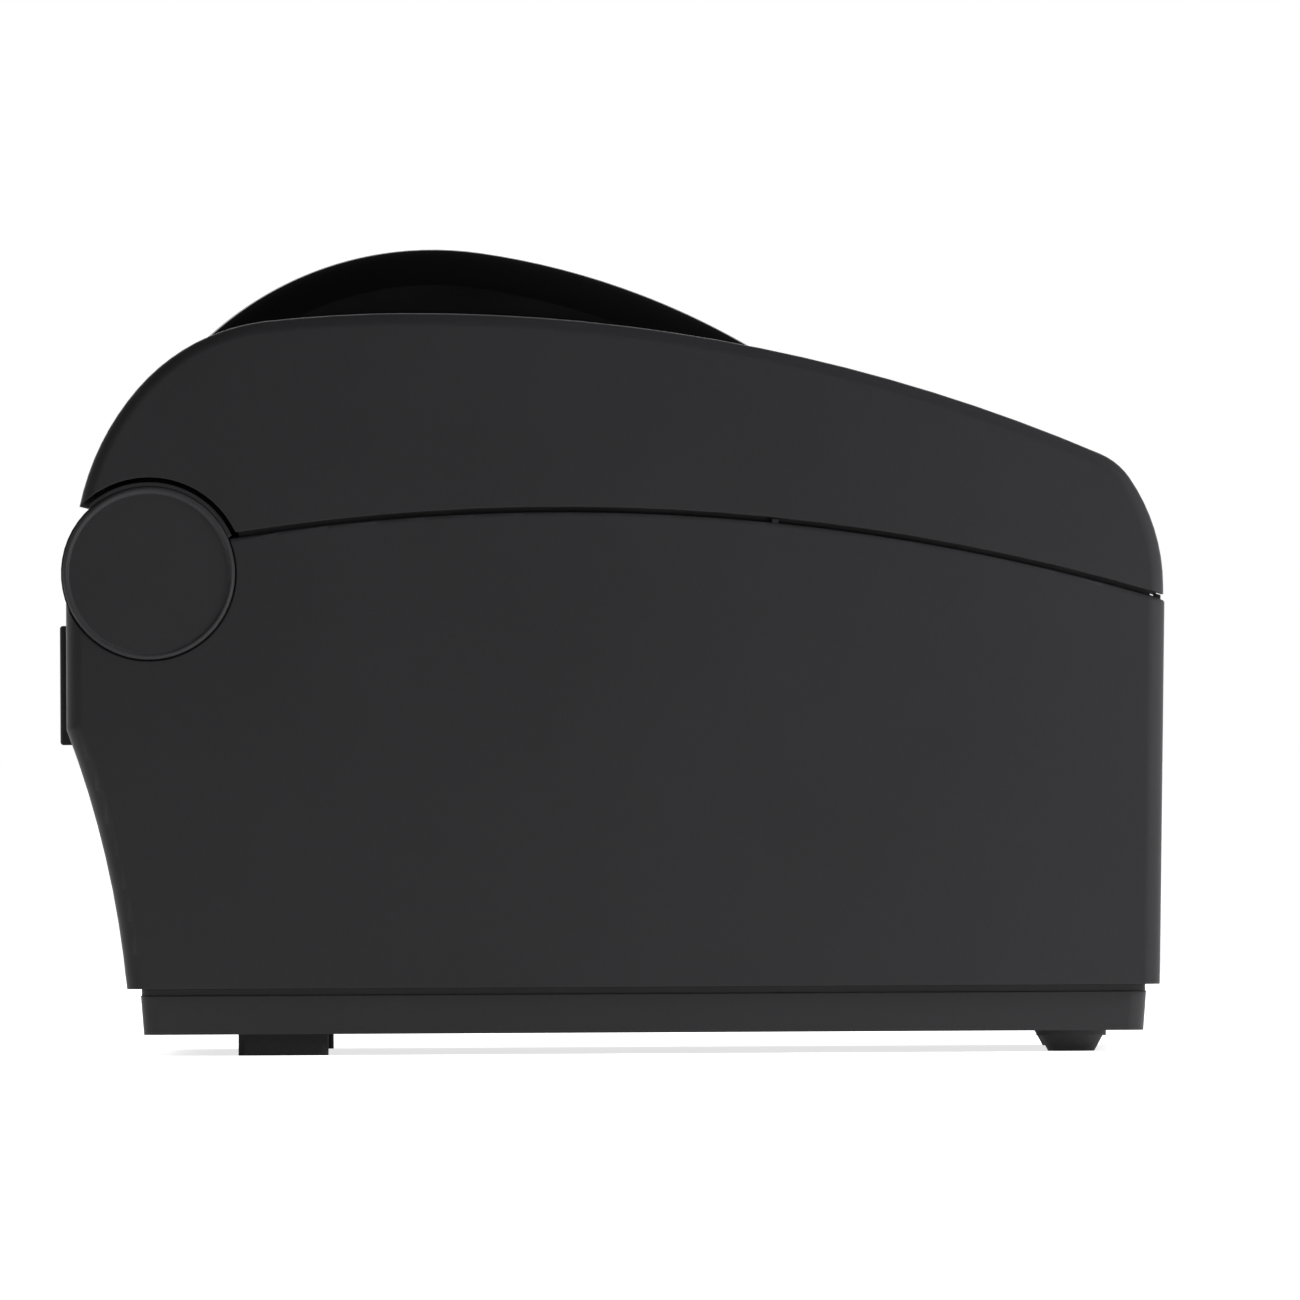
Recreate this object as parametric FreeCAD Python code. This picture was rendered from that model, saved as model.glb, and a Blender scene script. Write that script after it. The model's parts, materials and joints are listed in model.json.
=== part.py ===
# Desktop thermal label printer: a clamshell case with a hinged cover over a roll bay, a geared
# platen and a print head carried in the cover. Millimetres. +X is the front, where the label
# leaves, +Y is the printer's left and +Z is up. The origin is on the table under the middle.

import FreeCAD
import Part

import math
import os

Vec = FreeCAD.Vector

# Case
BODY_LENGTH = 272.0
BODY_WIDTH = 225.0
WALL = 2.6
CORNER_RADIUS = 4.0
RIM_RADIUS = 0.8           # rounding of the base's upper edge
COVER_EDGE_RADIUS = 3.0
PIECE_GAP = 0.3            # between pieces of the case that are fitted into each other
FRONT_X = BODY_LENGTH / 2
REAR_X = -BODY_LENGTH / 2
HALF_WIDTH = BODY_WIDTH / 2
INNER_HALF = HALF_WIDTH - WALL

# Labels: the widths across the printer follow from the widest label
LABEL_WIDTH = 112.0
HOLDER_ROOM = 4.0          # from the edge of the widest label to a holder pushed right out
HOLDER_THICKNESS = 6.0
BAY_SIDE_ROOM = 2.0
BAY_WALL = 2.2
HOLDER_FACE_Y = LABEL_WIDTH / 2 + HOLDER_ROOM
BAY_HALF_WIDTH = HOLDER_FACE_Y + HOLDER_THICKNESS + BAY_SIDE_ROOM

# Seam between base and cover, an arc seen from the side
SEAM_TOP_Z = 133.2
SEAM_TOP_INSET = 121.6     # of the arc's highest point from the rear end
SEAM_RADIUS = 514.6
SEAM_GAP = 1.4
SEAM_STOP_REACH = 54.0
SEAM_STOP = 1.6
FRONT_STOP_INSET = 16.0
SEAM_TOP_X = REAR_X + SEAM_TOP_INSET
SEAM_CENTRE_Z = SEAM_TOP_Z - SEAM_RADIUS
SEAM_STOP_X = SEAM_TOP_X + SEAM_STOP_REACH

# Hinge
HINGE_INSET = 22.4
HINGE_DROP = 14.5
DISC_RADIUS = 21.6
DISC_GAP = 2.0             # round gap between the hinge drum and the cover
CAP_PROUD = 0.5
CAP_BEAD = 1.4             # width of the raised rim of a hinge cap
CAP_SEAT = 1.8
CAP_GAP = 0.4
PIN_RADIUS = 4.0
RUNNING_GAP = 0.05
DRUM_GAP = 0.4
DRUM_ROOM = 5.9            # between the roll bay and the cover's hinge drum
BOSS_LENGTH = 14.0
ARM_THICKNESS = 7.0
HINGE_X = REAR_X + HINGE_INSET
HINGE_Z = SEAM_TOP_Z - HINGE_DROP
BOSS_INNER_Y = HALF_WIDTH - BOSS_LENGTH
DRUM_OUTER_Y = BOSS_INNER_Y - DRUM_GAP
DRUM_INNER_Y = BAY_HALF_WIDTH + BAY_WALL + DRUM_ROOM

# Cover outline, arcs from the nose over the crown to the back
COVER_TOP_Z = 182.3
CROWN_INSET = 85.5
CROWN_REAR_RADIUS = 322.0
CROWN_FRONT_RADIUS = 430.0
SHOULDER_RADIUS = 48.6
BACK_RADIUS = 64.0
BACK_INSET = 4.1
BACK_RISE = 3.3
NOSE_RADIUS = 47.0
NOSE_CORNER_RADIUS = 16.6
NOSE_RISE = 3.7
COVER_FRONT_INSET = 0.3
EXIT_ROOM = 4.0
EXIT_RISE = 2.4
CROWN_X = REAR_X + CROWN_INSET
EXIT_HALF_WIDTH = LABEL_WIDTH / 2 + EXIT_ROOM

# Domed window over the roll
DOME_INSET = 92.0
DOME_TOP_Z = 198.5
DOME_RADIUS = 82.5
DOME_FRONT_RADIUS = 185.0
DOME_TURN = math.radians(8.45)
DOME_SIDE_ROOM = 4.0
DOME_EDGE_RADIUS = 9.0
WINDOW_GAP = 0.2
DOME_X = REAR_X + DOME_INSET
DOME_HALF_WIDTH = BAY_HALF_WIDTH + DOME_SIDE_ROOM

# Base housing
HOUSING_BOTTOM_Z = 16.5
FRONT_DRAFT = 1.6
BEZEL_PROUD = 2.0          # of the rear slot's bezel, the rearmost face, from the rear wall
TUCK_DEPTH = 16.5
TUCK_RADIUS = 243.8
TUCK_CENTRE_DROP = 21.6
REAR_WALL_X = REAR_X + BEZEL_PROUD
REAR_FOOT_X = REAR_X + TUCK_DEPTH
TUCK_CENTRE_Z = HOUSING_BOTTOM_Z - TUCK_CENTRE_DROP
FRONT_FOOT_X = FRONT_X - FRONT_DRAFT

# Rear slot for fan-fold labels
SLOT_DROP = 42.0
SLOT_HEIGHT = 9.0
SLOT_ROOM = 5.0
BEZEL_HEIGHT = 29.4
BEZEL_MARGIN = 9.0
BEZEL_SLEEVE = 4.0
FIT_GAP = 0.15             # round pieces that plug into a window of the case
SLOT_Z = SEAM_TOP_Z - SLOT_DROP
SLOT_HALF_WIDTH = LABEL_WIDTH / 2 + SLOT_ROOM

# Feet and bottom plate
FOOT_HEIGHT = 5.2
PAN_DRAFT = 1.2
PAN_LIP = 4.0
GROOVE_HEIGHT = 1.7        # shadow groove between the housing and the skirt
GROOVE_DEPTH = 1.0
VENTS = 9
VENT_PITCH = 7.0
VENT_WIDTH = 3.0
VENT_HALF_LENGTH = 30.0
PAN_SCREW_INSET = 9.0
PAN_BOSS_RADIUS = 4.0
REAR_FOOT_INSET = 43.8
FRONT_FOOT_INSET = 23.3
REAR_FOOT_LENGTH = 22.1
REAR_FOOT_WIDTH = 14.0
FRONT_FOOT_TOP = 8.6
FRONT_FOOT_BOTTOM = 5.7

# Roll bay and label deck
COLUMN_REAR = 26.0
COLUMN_FRONT = 106.0
ROLL_RADIUS = 76.0
ROLL_ROOM = 3.0
ROLL_X = DOME_X
ROLL_Z = DOME_TOP_Z - DOME_RADIUS
BAY_RADIUS = ROLL_RADIUS + ROLL_ROOM
DECK_DROP = 6.0
DECK_THICKNESS = 2.2
DECK_TOP_R = SEAM_RADIUS - DECK_DROP
DECK_LOW_R = DECK_TOP_R - DECK_THICKNESS
LEDGE_ROOM = 2.1
LEDGE_HALF_WIDTH = DRUM_INNER_Y - LEDGE_ROOM
RAIL = 1.5                 # rail round the deck that closes the seam from inside
RAIL_RISE = 3.4

# Roll holders
HOLDER_TRAVEL = 46.0
HOLDER_TOP_RADIUS = 18.0
HOLDER_FOOT_LENGTH = 56.0
HUB_RADIUS = 12.4
HUB_FLANGE_RADIUS = 20.0
HUB_FLANGE = 2.0
HUB_LENGTH = 8.0
HUB_GAP = 0.3
AXLE_RADIUS = 4.0
RACK_MODULE = 1.0
RACK_PINION_TEETH = 16
RACK_HEIGHT = 6.0
RACK_BODY = 5.0
RACK_DROP = 2.3
PIVOT_RADIUS = 3.0
SLIDE_GAP = 0.5
TOOTH_ADDENDUM = 0.8
TOOTH_DEDENDUM = 1.1
BACKLASH = 0.22

# Platen and its drive
PLATEN_RADIUS = 8.0
PLATEN_LENGTH = LABEL_WIDTH
PLATEN_INSET = 16.5
PLATEN_TOP_DROP = 3.3
PLATEN_END_ROOM = 3.0
SHAFT_RADIUS = 3.0
PLATE = 1.6
PLATEN_X = FRONT_X - PLATEN_INSET
PLATE_Y = PLATEN_LENGTH / 2 + PLATEN_END_ROOM
GEAR_MODULE = 0.8
PLATEN_TEETH = 22
IDLER_SMALL_TEETH = 16
IDLER_LARGE_TEETH = 40
MOTOR_TEETH = 14
GEAR_WIDTH = 5.0
GEAR_GAP = 1.0
GEAR_PLATE_ROOM = 2.4
GEAR_SIDE_ROOM = 3.0
IDLER_ANGLE = math.radians(245.0)
MOTOR_ANGLE = math.radians(240.0)
MOTOR_SIDE = 39.0
MOTOR_LENGTH = 30.0
MOTOR_SHAFT_RADIUS = 2.5
IDLER_AXLE_RADIUS = 2.5
BUSH_RADIUS = 5.0
TEAR_PITCH = 2.0
TEAR_DEPTH = 1.0

# Latch
LATCH_INSET = 50.0
LATCH_DROP = 22.0
LATCH_RADIUS = 3.0
HOOK_ROOM = 1.5            # between the gears and a latch hook
HOOK_WIDTH = 5.0
HOOK_THICKNESS = 6.0
HOOK_NOSE = 3.6
LEVER_LENGTH = 16.0
LEVER_HEIGHT = 10.0
POCKET_DEPTH = 12.0
POCKET_WALL = 2.0
POCKET_FLANGE = 3.0
FINGER_ROOM = 12.0
LATCH_GAP = 0.5

# Media sensor
SENSOR_INSET = 60.0
SENSOR_LENGTH = 8.0
SENSOR_WIDTH = 12.0
SENSOR_TRAVEL = 80.0
SENSOR_PROUD = 0.5
SENSOR_X = FRONT_X - SENSOR_INSET

# Print head
LABEL_GAP = 0.4
SUBSTRATE = 2.2
HEAD_DEPTH = 18.0
HEAD_OVERHANG = 2.0
HEAD_LENGTH = PLATEN_LENGTH + 2 * HEAD_OVERHANG
HEATSINK = 6.0
SPRING_HEIGHT = 8.0
SPRING_RADIUS = 4.0
SPRING_WIRE = 0.5
SPRING_TURNS = 3
BRACKET = 1.5
CARRIER_RISE = 5.0
CARRIER_PLATE = 2.4
CARRIER_LENGTH = 88.0
TIE_INSET = 12.0
CARRIER_REAR_X = FRONT_X - CARRIER_LENGTH

# Feed button and status lenses
BUTTON_INSET = 38.0
BUTTON_Y = -62.0
BUTTON_RADIUS = 7.0
BUTTON_TRAVEL = 0.8
BUTTON_GAP = 0.35
LENS_RADIUS = 2.0
LENS_SPACING = 9.0
BUTTON_BOARD_DEPTH = 14.0
BUTTON_BOARD = 1.6
BUTTON_X = FRONT_X - BUTTON_INSET

# Main board and rear sockets
BOARD_Z = HOUSING_BOTTOM_Z + 3.5
BOARD = 1.6
BOARD_SIDE_ROOM = 4.6      # to the bosses of the bottom plate's screws
BOARD_LENGTH = 122.0
PANEL_HEIGHT = 30.0
PANEL_HALF_WIDTH = 80.0
PANEL = 1.2
PANEL_RIM = 2.0
SOCKET_PROUD = 1.0
SOCKET_GAP = 0.3
SWITCH_Y = 58.0
JACK_Y = 26.0
USB_Y = -4.0
NETWORK_Y = -34.0
ROCKER_RADIUS = 6.5
ROCKER_WIDTH = 9.0
ROCKER_TILT = 7.0


def seam_z(x, radius=SEAM_RADIUS):
    """Height at x of an arc about the seam's centre."""
    return SEAM_CENTRE_Z + math.sqrt(radius ** 2 - (x - SEAM_TOP_X) ** 2)


def circle_meet(c0, r0, c1, r1, pick):
    """The crossing of two circles that pick prefers, as (x, z)."""
    dx = c1[0] - c0[0]
    dz = c1[1] - c0[1]
    gap = math.hypot(dx, dz)
    along = (r0 ** 2 - r1 ** 2 + gap ** 2) / (2 * gap)
    off = math.sqrt(r0 ** 2 - along ** 2)
    base = (c0[0] + along * dx / gap, c0[1] + along * dz / gap)
    shift = (-off * dz / gap, off * dx / gap)
    return max(
        (base[0] + shift[0], base[1] + shift[1]),
        (base[0] - shift[0], base[1] - shift[1]),
        key=pick,
    )


class Outline:
    """A closed outline in the XZ plane, drawn with lines and arcs."""

    def __init__(self, x, z):
        self.start = (x, z)
        self.here = (x, z)
        self.edges = []

    def line(self, x, z):
        if math.dist(self.here, (x, z)) > 1e-6:
            self.edges.append(Part.makeLine(Vec(self.here[0], 0, self.here[1]), Vec(x, 0, z)))
        self.here = (x, z)
        return self

    def arc(self, centre, end, turn=1):
        """Arc about centre to end; turn is 1 for counter-clockwise as seen from the right."""
        radius = math.dist(centre, self.here)
        first = math.atan2(self.here[1] - centre[1], self.here[0] - centre[0])
        last = math.atan2(end[1] - centre[1], end[0] - centre[0])
        sweep = (last - first) * turn % (2 * math.pi)
        middle = first + turn * sweep / 2
        on_arc = Vec(centre[0] + radius * math.cos(middle), 0, centre[1] + radius * math.sin(middle))
        points = (Vec(self.here[0], 0, self.here[1]), on_arc, Vec(end[0], 0, end[1]))
        self.edges.append(Part.Arc(*points).toShape())
        self.here = end
        return self

    def prism(self, y0, y1):
        self.line(*self.start)
        face = Part.Face(Part.Wire(self.edges))
        face.translate(Vec(0, y0, 0))
        return face.extrude(Vec(0, y1 - y0, 0))


def polygon(points, y0, y1):
    outline = Outline(*points[0])
    for point in points[1:]:
        outline.line(*point)
    return outline.prism(y0, y1)


def box(x0, x1, y0, y1, z0, z1):
    return Part.makeBox(x1 - x0, y1 - y0, z1 - z0, Vec(x0, y0, z0))


def rod(x, z, radius, y0, y1):
    """Round bar along Y."""
    return Part.makeCylinder(radius, y1 - y0, Vec(x, y0, z), Vec(0, 1, 0))


def post(x, y, radius, z0, z1):
    return Part.makeCylinder(radius, z1 - z0, Vec(x, y, z0))


def mirror(shape):
    """The same piece on the other side of the printer."""
    return shape.mirror(Vec(0, 0, 0), Vec(0, 1, 0))


def both(shape):
    return [shape, mirror(shape)]


def seam_slab(low, high, x0, x1, y0, y1):
    """Curved plate between two radii about the seam's centre."""
    centre = (SEAM_TOP_X, SEAM_CENTRE_Z)
    outline = Outline(x1, seam_z(x1, low))
    outline.line(x1, seam_z(x1, high))
    outline.arc(centre, (x0, seam_z(x0, high)))
    outline.line(x0, seam_z(x0, low))
    outline.arc(centre, (x1, seam_z(x1, low)), turn=-1)
    return outline.prism(y0, y1)


def join(first, *others):
    return first.fuse(list(others)).removeSplitter()


def save(name, *shapes):
    solids = [solid for shape in shapes for solid in shape.Solids]
    shape = solids[0] if len(solids) == 1 else Part.makeCompound(solids)
    shape.exportStep("parts/" + name + ".step")


# Shared places
COVER_FRONT_X = FRONT_X - COVER_FRONT_INSET
COVER_SEAM_R = SEAM_RADIUS + SEAM_GAP
CUT_RADIUS = DISC_RADIUS + DISC_GAP
DRUM_RADIUS = DISC_RADIUS - DRUM_GAP
PAN_REAR_X = REAR_FOOT_X + WALL + PIECE_GAP
PAN_FRONT_X = FRONT_FOOT_X - WALL - PIECE_GAP
PAN_HALF = INNER_HALF - PIECE_GAP
PAN_FLOOR_Z = FOOT_HEIGHT + WALL
PAN_SCREW_Y = PAN_HALF - PAN_SCREW_INSET
BOARD_HALF_WIDTH = PAN_SCREW_Y - PAN_BOSS_RADIUS - BOARD_SIDE_ROOM
PLATEN_Z = seam_z(PLATEN_X) - PLATEN_TOP_DROP - PLATEN_RADIUS
DECK_FRONT_X = PLATEN_X - PLATEN_RADIUS - 3.0
IDLER_REACH = GEAR_MODULE * (PLATEN_TEETH + IDLER_SMALL_TEETH) / 2
MOTOR_REACH = GEAR_MODULE * (IDLER_LARGE_TEETH + MOTOR_TEETH) / 2
IDLER_X = PLATEN_X + IDLER_REACH * math.cos(IDLER_ANGLE)
IDLER_Z = PLATEN_Z + IDLER_REACH * math.sin(IDLER_ANGLE)
MOTOR_X = IDLER_X + MOTOR_REACH * math.cos(MOTOR_ANGLE)
MOTOR_Z = IDLER_Z + MOTOR_REACH * math.sin(MOTOR_ANGLE)
GEAR_Y = PLATE_Y + PLATE + GEAR_PLATE_ROOM
GEAR_OUTER_Y = GEAR_Y + GEAR_WIDTH + GEAR_GAP
FRAME_FLOOR_Z = MOTOR_Z - MOTOR_SIDE / 2 - 5.0
FRAME_REAR_X = MOTOR_X - MOTOR_SIDE / 2 - 3.0
FRAME_FRONT_X = PLATEN_X + PLATEN_RADIUS + 3.3
GEAR_ROOM_Y = GEAR_OUTER_Y + GEAR_WIDTH + GEAR_SIDE_ROOM
HOOK_Y = GEAR_ROOM_Y + HOOK_ROOM
LATCH_X = FRONT_X - LATCH_INSET
LATCH_Z = seam_z(LATCH_X) - LATCH_DROP
STRIKER_X = LATCH_X + HOOK_THICKNESS / 2 + HOOK_NOSE - 2.4 + LATCH_GAP
HEAD_Z = PLATEN_Z + PLATEN_RADIUS + LABEL_GAP
HEAD_REAR_X = PLATEN_X - HEAD_DEPTH / 2
HEATSINK_Z = HEAD_Z + SUBSTRATE
TIE_Y = INNER_HALF - TIE_INSET
BRACKET_Z = HEATSINK_Z + HEATSINK + SPRING_HEIGHT
CARRIER_LOW_R = COVER_SEAM_R + CARRIER_RISE
CARRIER_TOP_R = CARRIER_LOW_R + CARRIER_PLATE
BAY_BOTTOM_Z = ROLL_Z - BAY_RADIUS - BAY_WALL
RACK_TOP_Z = BAY_BOTTOM_Z - RACK_DROP
RACK_PITCH_RADIUS = RACK_MODULE * RACK_PINION_TEETH / 2
PANEL_LOW_Z = HOUSING_BOTTOM_Z + 3.0
PANEL_X = REAR_FOOT_X + WALL + 1.2


# Cover outline

BACK_CENTRE = (REAR_X + BACK_INSET + BACK_RADIUS, HINGE_Z + BACK_RISE)
CROWN_REAR_CENTRE = (CROWN_X, COVER_TOP_Z - CROWN_REAR_RADIUS)
CROWN_FRONT_CENTRE = (CROWN_X, COVER_TOP_Z - CROWN_FRONT_RADIUS)
NOSE_CENTRE = (COVER_FRONT_X - NOSE_RADIUS, seam_z(COVER_FRONT_X) + NOSE_RISE)
SHOULDER_CENTRE = circle_meet(
    BACK_CENTRE, BACK_RADIUS - SHOULDER_RADIUS,
    CROWN_REAR_CENTRE, CROWN_REAR_RADIUS - SHOULDER_RADIUS, lambda p: -p[0])
CORNER_CENTRE = circle_meet(
    NOSE_CENTRE, NOSE_RADIUS - NOSE_CORNER_RADIUS,
    CROWN_FRONT_CENTRE, CROWN_FRONT_RADIUS - NOSE_CORNER_RADIUS, lambda p: p[0])


def heading(start, end):
    return math.atan2(end[1] - start[1], end[0] - start[0])


# Each arc: centre, radius, and the direction in which it ends
COVER_ARCS = (
    (NOSE_CENTRE, NOSE_RADIUS, heading(NOSE_CENTRE, CORNER_CENTRE)),
    (CORNER_CENTRE, NOSE_CORNER_RADIUS, heading(CROWN_FRONT_CENTRE, CORNER_CENTRE)),
    (CROWN_FRONT_CENTRE, CROWN_FRONT_RADIUS, math.pi / 2),
    (CROWN_REAR_CENTRE, CROWN_REAR_RADIUS, heading(CROWN_REAR_CENTRE, SHOULDER_CENTRE)),
    (SHOULDER_CENTRE, SHOULDER_RADIUS, heading(BACK_CENTRE, SHOULDER_CENTRE)),
    (BACK_CENTRE, BACK_RADIUS, math.pi),
)


def draw_cover_arcs(outline, inset):
    """Run the outline over the cover from the nose to the back, inset from its skin."""
    outline.line(NOSE_CENTRE[0] + NOSE_RADIUS - inset, NOSE_CENTRE[1])
    for centre, radius, last in COVER_ARCS:
        reach = radius - inset
        outline.arc(centre, (centre[0] + reach * math.cos(last), centre[1] + reach * math.sin(last)))
    return outline


def cover_fill(inset, half_width):
    """Everything under the cover's skin, down to well below the seam."""
    low = HINGE_Z - 40.0
    outline = Outline(COVER_FRONT_X - inset, low)
    draw_cover_arcs(outline, inset)
    outline.line(outline.here[0], low)
    return outline.prism(-half_width, half_width)


def crown_point(x, depth):
    """Point on the front crown at x, at a depth under the skin, and the outward direction there."""
    centre = CROWN_FRONT_CENTRE
    rise = math.sqrt(CROWN_FRONT_RADIUS ** 2 - (x - centre[0]) ** 2)
    out = Vec(x - centre[0], 0, rise).normalize()
    return Vec(centre[0], 0, centre[1]) + out * (CROWN_FRONT_RADIUS - depth), out


BUTTON_OUT = crown_point(BUTTON_X, 0)[1]


def button_rod(radius, top_depth, low_depth, y):
    """Round bar square to the cover's slope under the feed button."""
    low = crown_point(BUTTON_X, low_depth)[0]
    return Part.makeCylinder(radius, low_depth - top_depth, Vec(low.x, y, low.z), BUTTON_OUT)


def dome_ends():
    """Where the dome meets the cover's skin, rear and front, as x."""
    rear = circle_meet((DOME_X, ROLL_Z), DOME_RADIUS, SHOULDER_CENTRE, SHOULDER_RADIUS, lambda p: p[1])
    front = circle_meet(dome_front_centre(), DOME_FRONT_RADIUS,
                        CROWN_FRONT_CENTRE, CROWN_FRONT_RADIUS, lambda p: p[0])
    return rear[0], front[0]


def dome_front_centre():
    reach = DOME_RADIUS - DOME_FRONT_RADIUS
    return (DOME_X + reach * math.sin(DOME_TURN), ROLL_Z + reach * math.cos(DOME_TURN))


def dome_fill(inset, edge_radius):
    """Everything under the dome's skin between its sides, with rounded side edges."""
    rear_radius = DOME_RADIUS - inset
    front_radius = DOME_FRONT_RADIUS - inset
    centre = (DOME_X, ROLL_Z)
    front_centre = dome_front_centre()
    rear_x, front_x = dome_ends()
    reach_rear = rear_x - 4.0
    reach_front = front_x + 14.0
    low = ROLL_Z + 20.0
    turn = (DOME_X + rear_radius * math.sin(DOME_TURN), ROLL_Z + rear_radius * math.cos(DOME_TURN))
    front_z = front_centre[1] + math.sqrt(front_radius ** 2 - (reach_front - front_centre[0]) ** 2)
    rear_z = ROLL_Z + math.sqrt(rear_radius ** 2 - (reach_rear - DOME_X) ** 2)
    outline = Outline(reach_front, low)
    outline.line(reach_front, front_z)
    outline.arc(front_centre, turn)
    outline.arc(centre, (reach_rear, rear_z))
    outline.line(reach_rear, low)
    half = DOME_HALF_WIDTH - inset
    solid = outline.prism(-half, half)
    edges = [edge for edge in solid.Edges
             if edge.BoundBox.YLength < 0.01 and edge.BoundBox.ZMin > low + 1.0]
    return solid.makeFillet(edge_radius, edges)


def window_opening(gap):
    rear_x, front_x = dome_ends()
    half = DOME_HALF_WIDTH + gap
    return box(rear_x - gap, front_x + gap, -half, half, ROLL_Z + 40.0, DOME_TOP_Z + 10.0)


def cover_skin():
    """Outer form of the cover with rounded side edges, before it is hollowed."""
    centre = (SEAM_TOP_X, SEAM_CENTRE_Z)
    rear_x = HINGE_X + DISC_RADIUS - 3.0
    outline = Outline(COVER_FRONT_X, seam_z(COVER_FRONT_X, COVER_SEAM_R))
    draw_cover_arcs(outline, 0.0)
    outline.line(rear_x, BACK_CENTRE[1])
    outline.line(rear_x, seam_z(rear_x, COVER_SEAM_R))
    outline.arc(centre, outline.start, turn=-1)
    solid = outline.prism(-HALF_WIDTH, HALF_WIDTH)
    edges = []
    for edge in solid.Edges:
        middle = edge.valueAt((edge.FirstParameter + edge.LastParameter) / 2)
        above = middle.z > seam_z(middle.x, COVER_SEAM_R) + 0.4
        if edge.BoundBox.YLength < 0.01 and above and abs(middle.y) > HALF_WIDTH - 0.1:
            edges.append(edge)
    return solid.makeFillet(COVER_EDGE_RADIUS, edges)


def hinge_arm():
    """Drum about the hinge pin with a web up to the cover's roof, on the left."""
    drum = rod(HINGE_X, HINGE_Z, DRUM_RADIUS, DRUM_INNER_Y, DRUM_OUTER_Y)
    middle = (DRUM_INNER_Y + DRUM_OUTER_Y) / 2
    web = polygon(
        [(HINGE_X - 11.0, HINGE_Z + 14.0), (HINGE_X + 14.0, HINGE_Z + 12.0),
         (HINGE_X + 52.0, HINGE_Z + 30.0), (HINGE_X + 52.0, COVER_TOP_Z),
         (HINGE_X - 11.0, COVER_TOP_Z)],
        middle - ARM_THICKNESS / 2, middle + ARM_THICKNESS / 2)
    web = web.common(cover_fill(WALL / 2, HALF_WIDTH))
    bore = rod(HINGE_X, HINGE_Z, PIN_RADIUS + RUNNING_GAP, DRUM_INNER_Y - 1.0, DRUM_OUTER_Y + 1.0)
    return drum.fuse(web).cut(bore)


def cover_shell():
    shell = cover_skin().cut(cover_fill(WALL, INNER_HALF))
    shell = shell.cut(rod(HINGE_X, HINGE_Z, CUT_RADIUS, -HALF_WIDTH - 1, HALF_WIDTH + 1))
    exit_z = seam_z(COVER_FRONT_X, COVER_SEAM_R) + EXIT_RISE
    label_exit = box(COVER_FRONT_X - 2 * WALL, COVER_FRONT_X + 1.0,
                     -EXIT_HALF_WIDTH, EXIT_HALF_WIDTH, exit_z - 20.0, exit_z)
    holes = [button_rod(BUTTON_RADIUS + BUTTON_GAP, -3.0, 2 * WALL, BUTTON_Y)]
    for y in lens_places():
        holes.append(button_rod(LENS_RADIUS + BUTTON_GAP, -3.0, 2 * WALL, y))
    shell = shell.cut([window_opening(WINDOW_GAP), label_exit] + holes)
    arms = both(hinge_arm())
    posts = [button_rod(2.5, WALL / 2, BUTTON_BOARD_DEPTH, BUTTON_Y + side) for side in (-11.0, 31.0)]
    return join(shell, *arms, *posts)


def lens_places():
    return [BUTTON_Y + BUTTON_RADIUS + LENS_SPACING * n for n in (1, 2)]


def window():
    plate = cover_fill(0.0, HALF_WIDTH).cut(cover_fill(WALL, HALF_WIDTH))
    plate = plate.common(window_opening(0.0))
    dome = dome_fill(0.0, DOME_EDGE_RADIUS).cut(cover_fill(WALL, HALF_WIDTH))
    dome = dome.common(window_opening(0.0))
    return join(plate, dome).cut(dome_fill(WALL, DOME_EDGE_RADIUS - WALL))


# Base

def housing_form():
    """Outer form of the base housing, with the hinge drum, before it is hollowed."""
    hinge = (HINGE_X, HINGE_Z)
    seam_centre = (SEAM_TOP_X, SEAM_CENTRE_Z)
    seam_end = circle_meet(hinge, DISC_RADIUS, seam_centre, SEAM_RADIUS, lambda p: p[0])
    drum_end_z = HINGE_Z - math.sqrt(DISC_RADIUS ** 2 - (REAR_WALL_X - HINGE_X) ** 2)
    outline = Outline(FRONT_FOOT_X, HOUSING_BOTTOM_Z)
    outline.line(FRONT_X, seam_z(FRONT_X))
    outline.arc(seam_centre, seam_end)
    outline.arc(hinge, (REAR_WALL_X, drum_end_z))
    outline.line(REAR_WALL_X, tuck_z(REAR_WALL_X, 0.0))
    outline.arc(tuck_centre(), (REAR_FOOT_X, HOUSING_BOTTOM_Z), turn=-1)
    solid = outline.prism(-HALF_WIDTH, HALF_WIDTH)
    corners = []
    for edge in solid.Edges:
        middle = edge.valueAt((edge.FirstParameter + edge.LastParameter) / 2)
        upright = edge.BoundBox.YLength < 0.01 and edge.BoundBox.ZLength > 10.0
        front = middle.x > FRONT_FOOT_X - 1.0
        back = middle.x < REAR_FOOT_X and middle.z < drum_end_z
        if upright and (front or back):
            corners.append(edge)
    solid = solid.makeFillet(CORNER_RADIUS, corners)
    rim = []
    for edge in solid.Edges:
        middle = edge.valueAt((edge.FirstParameter + edge.LastParameter) / 2)
        if middle.x > seam_end[0] + 1.0 and abs(middle.z - seam_z(middle.x)) < 0.01:
            rim.append(edge)
    return solid.makeFillet(RIM_RADIUS, rim)


def tuck_centre():
    rise = HOUSING_BOTTOM_Z - TUCK_CENTRE_Z
    return (REAR_FOOT_X - math.sqrt(TUCK_RADIUS ** 2 - rise ** 2), TUCK_CENTRE_Z)


def tuck_z(x, inset):
    """Height at x of the tucked-in lower back, inset from its skin."""
    return TUCK_CENTRE_Z + math.sqrt((TUCK_RADIUS + inset) ** 2 - (x - tuck_centre()[0]) ** 2)


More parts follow.
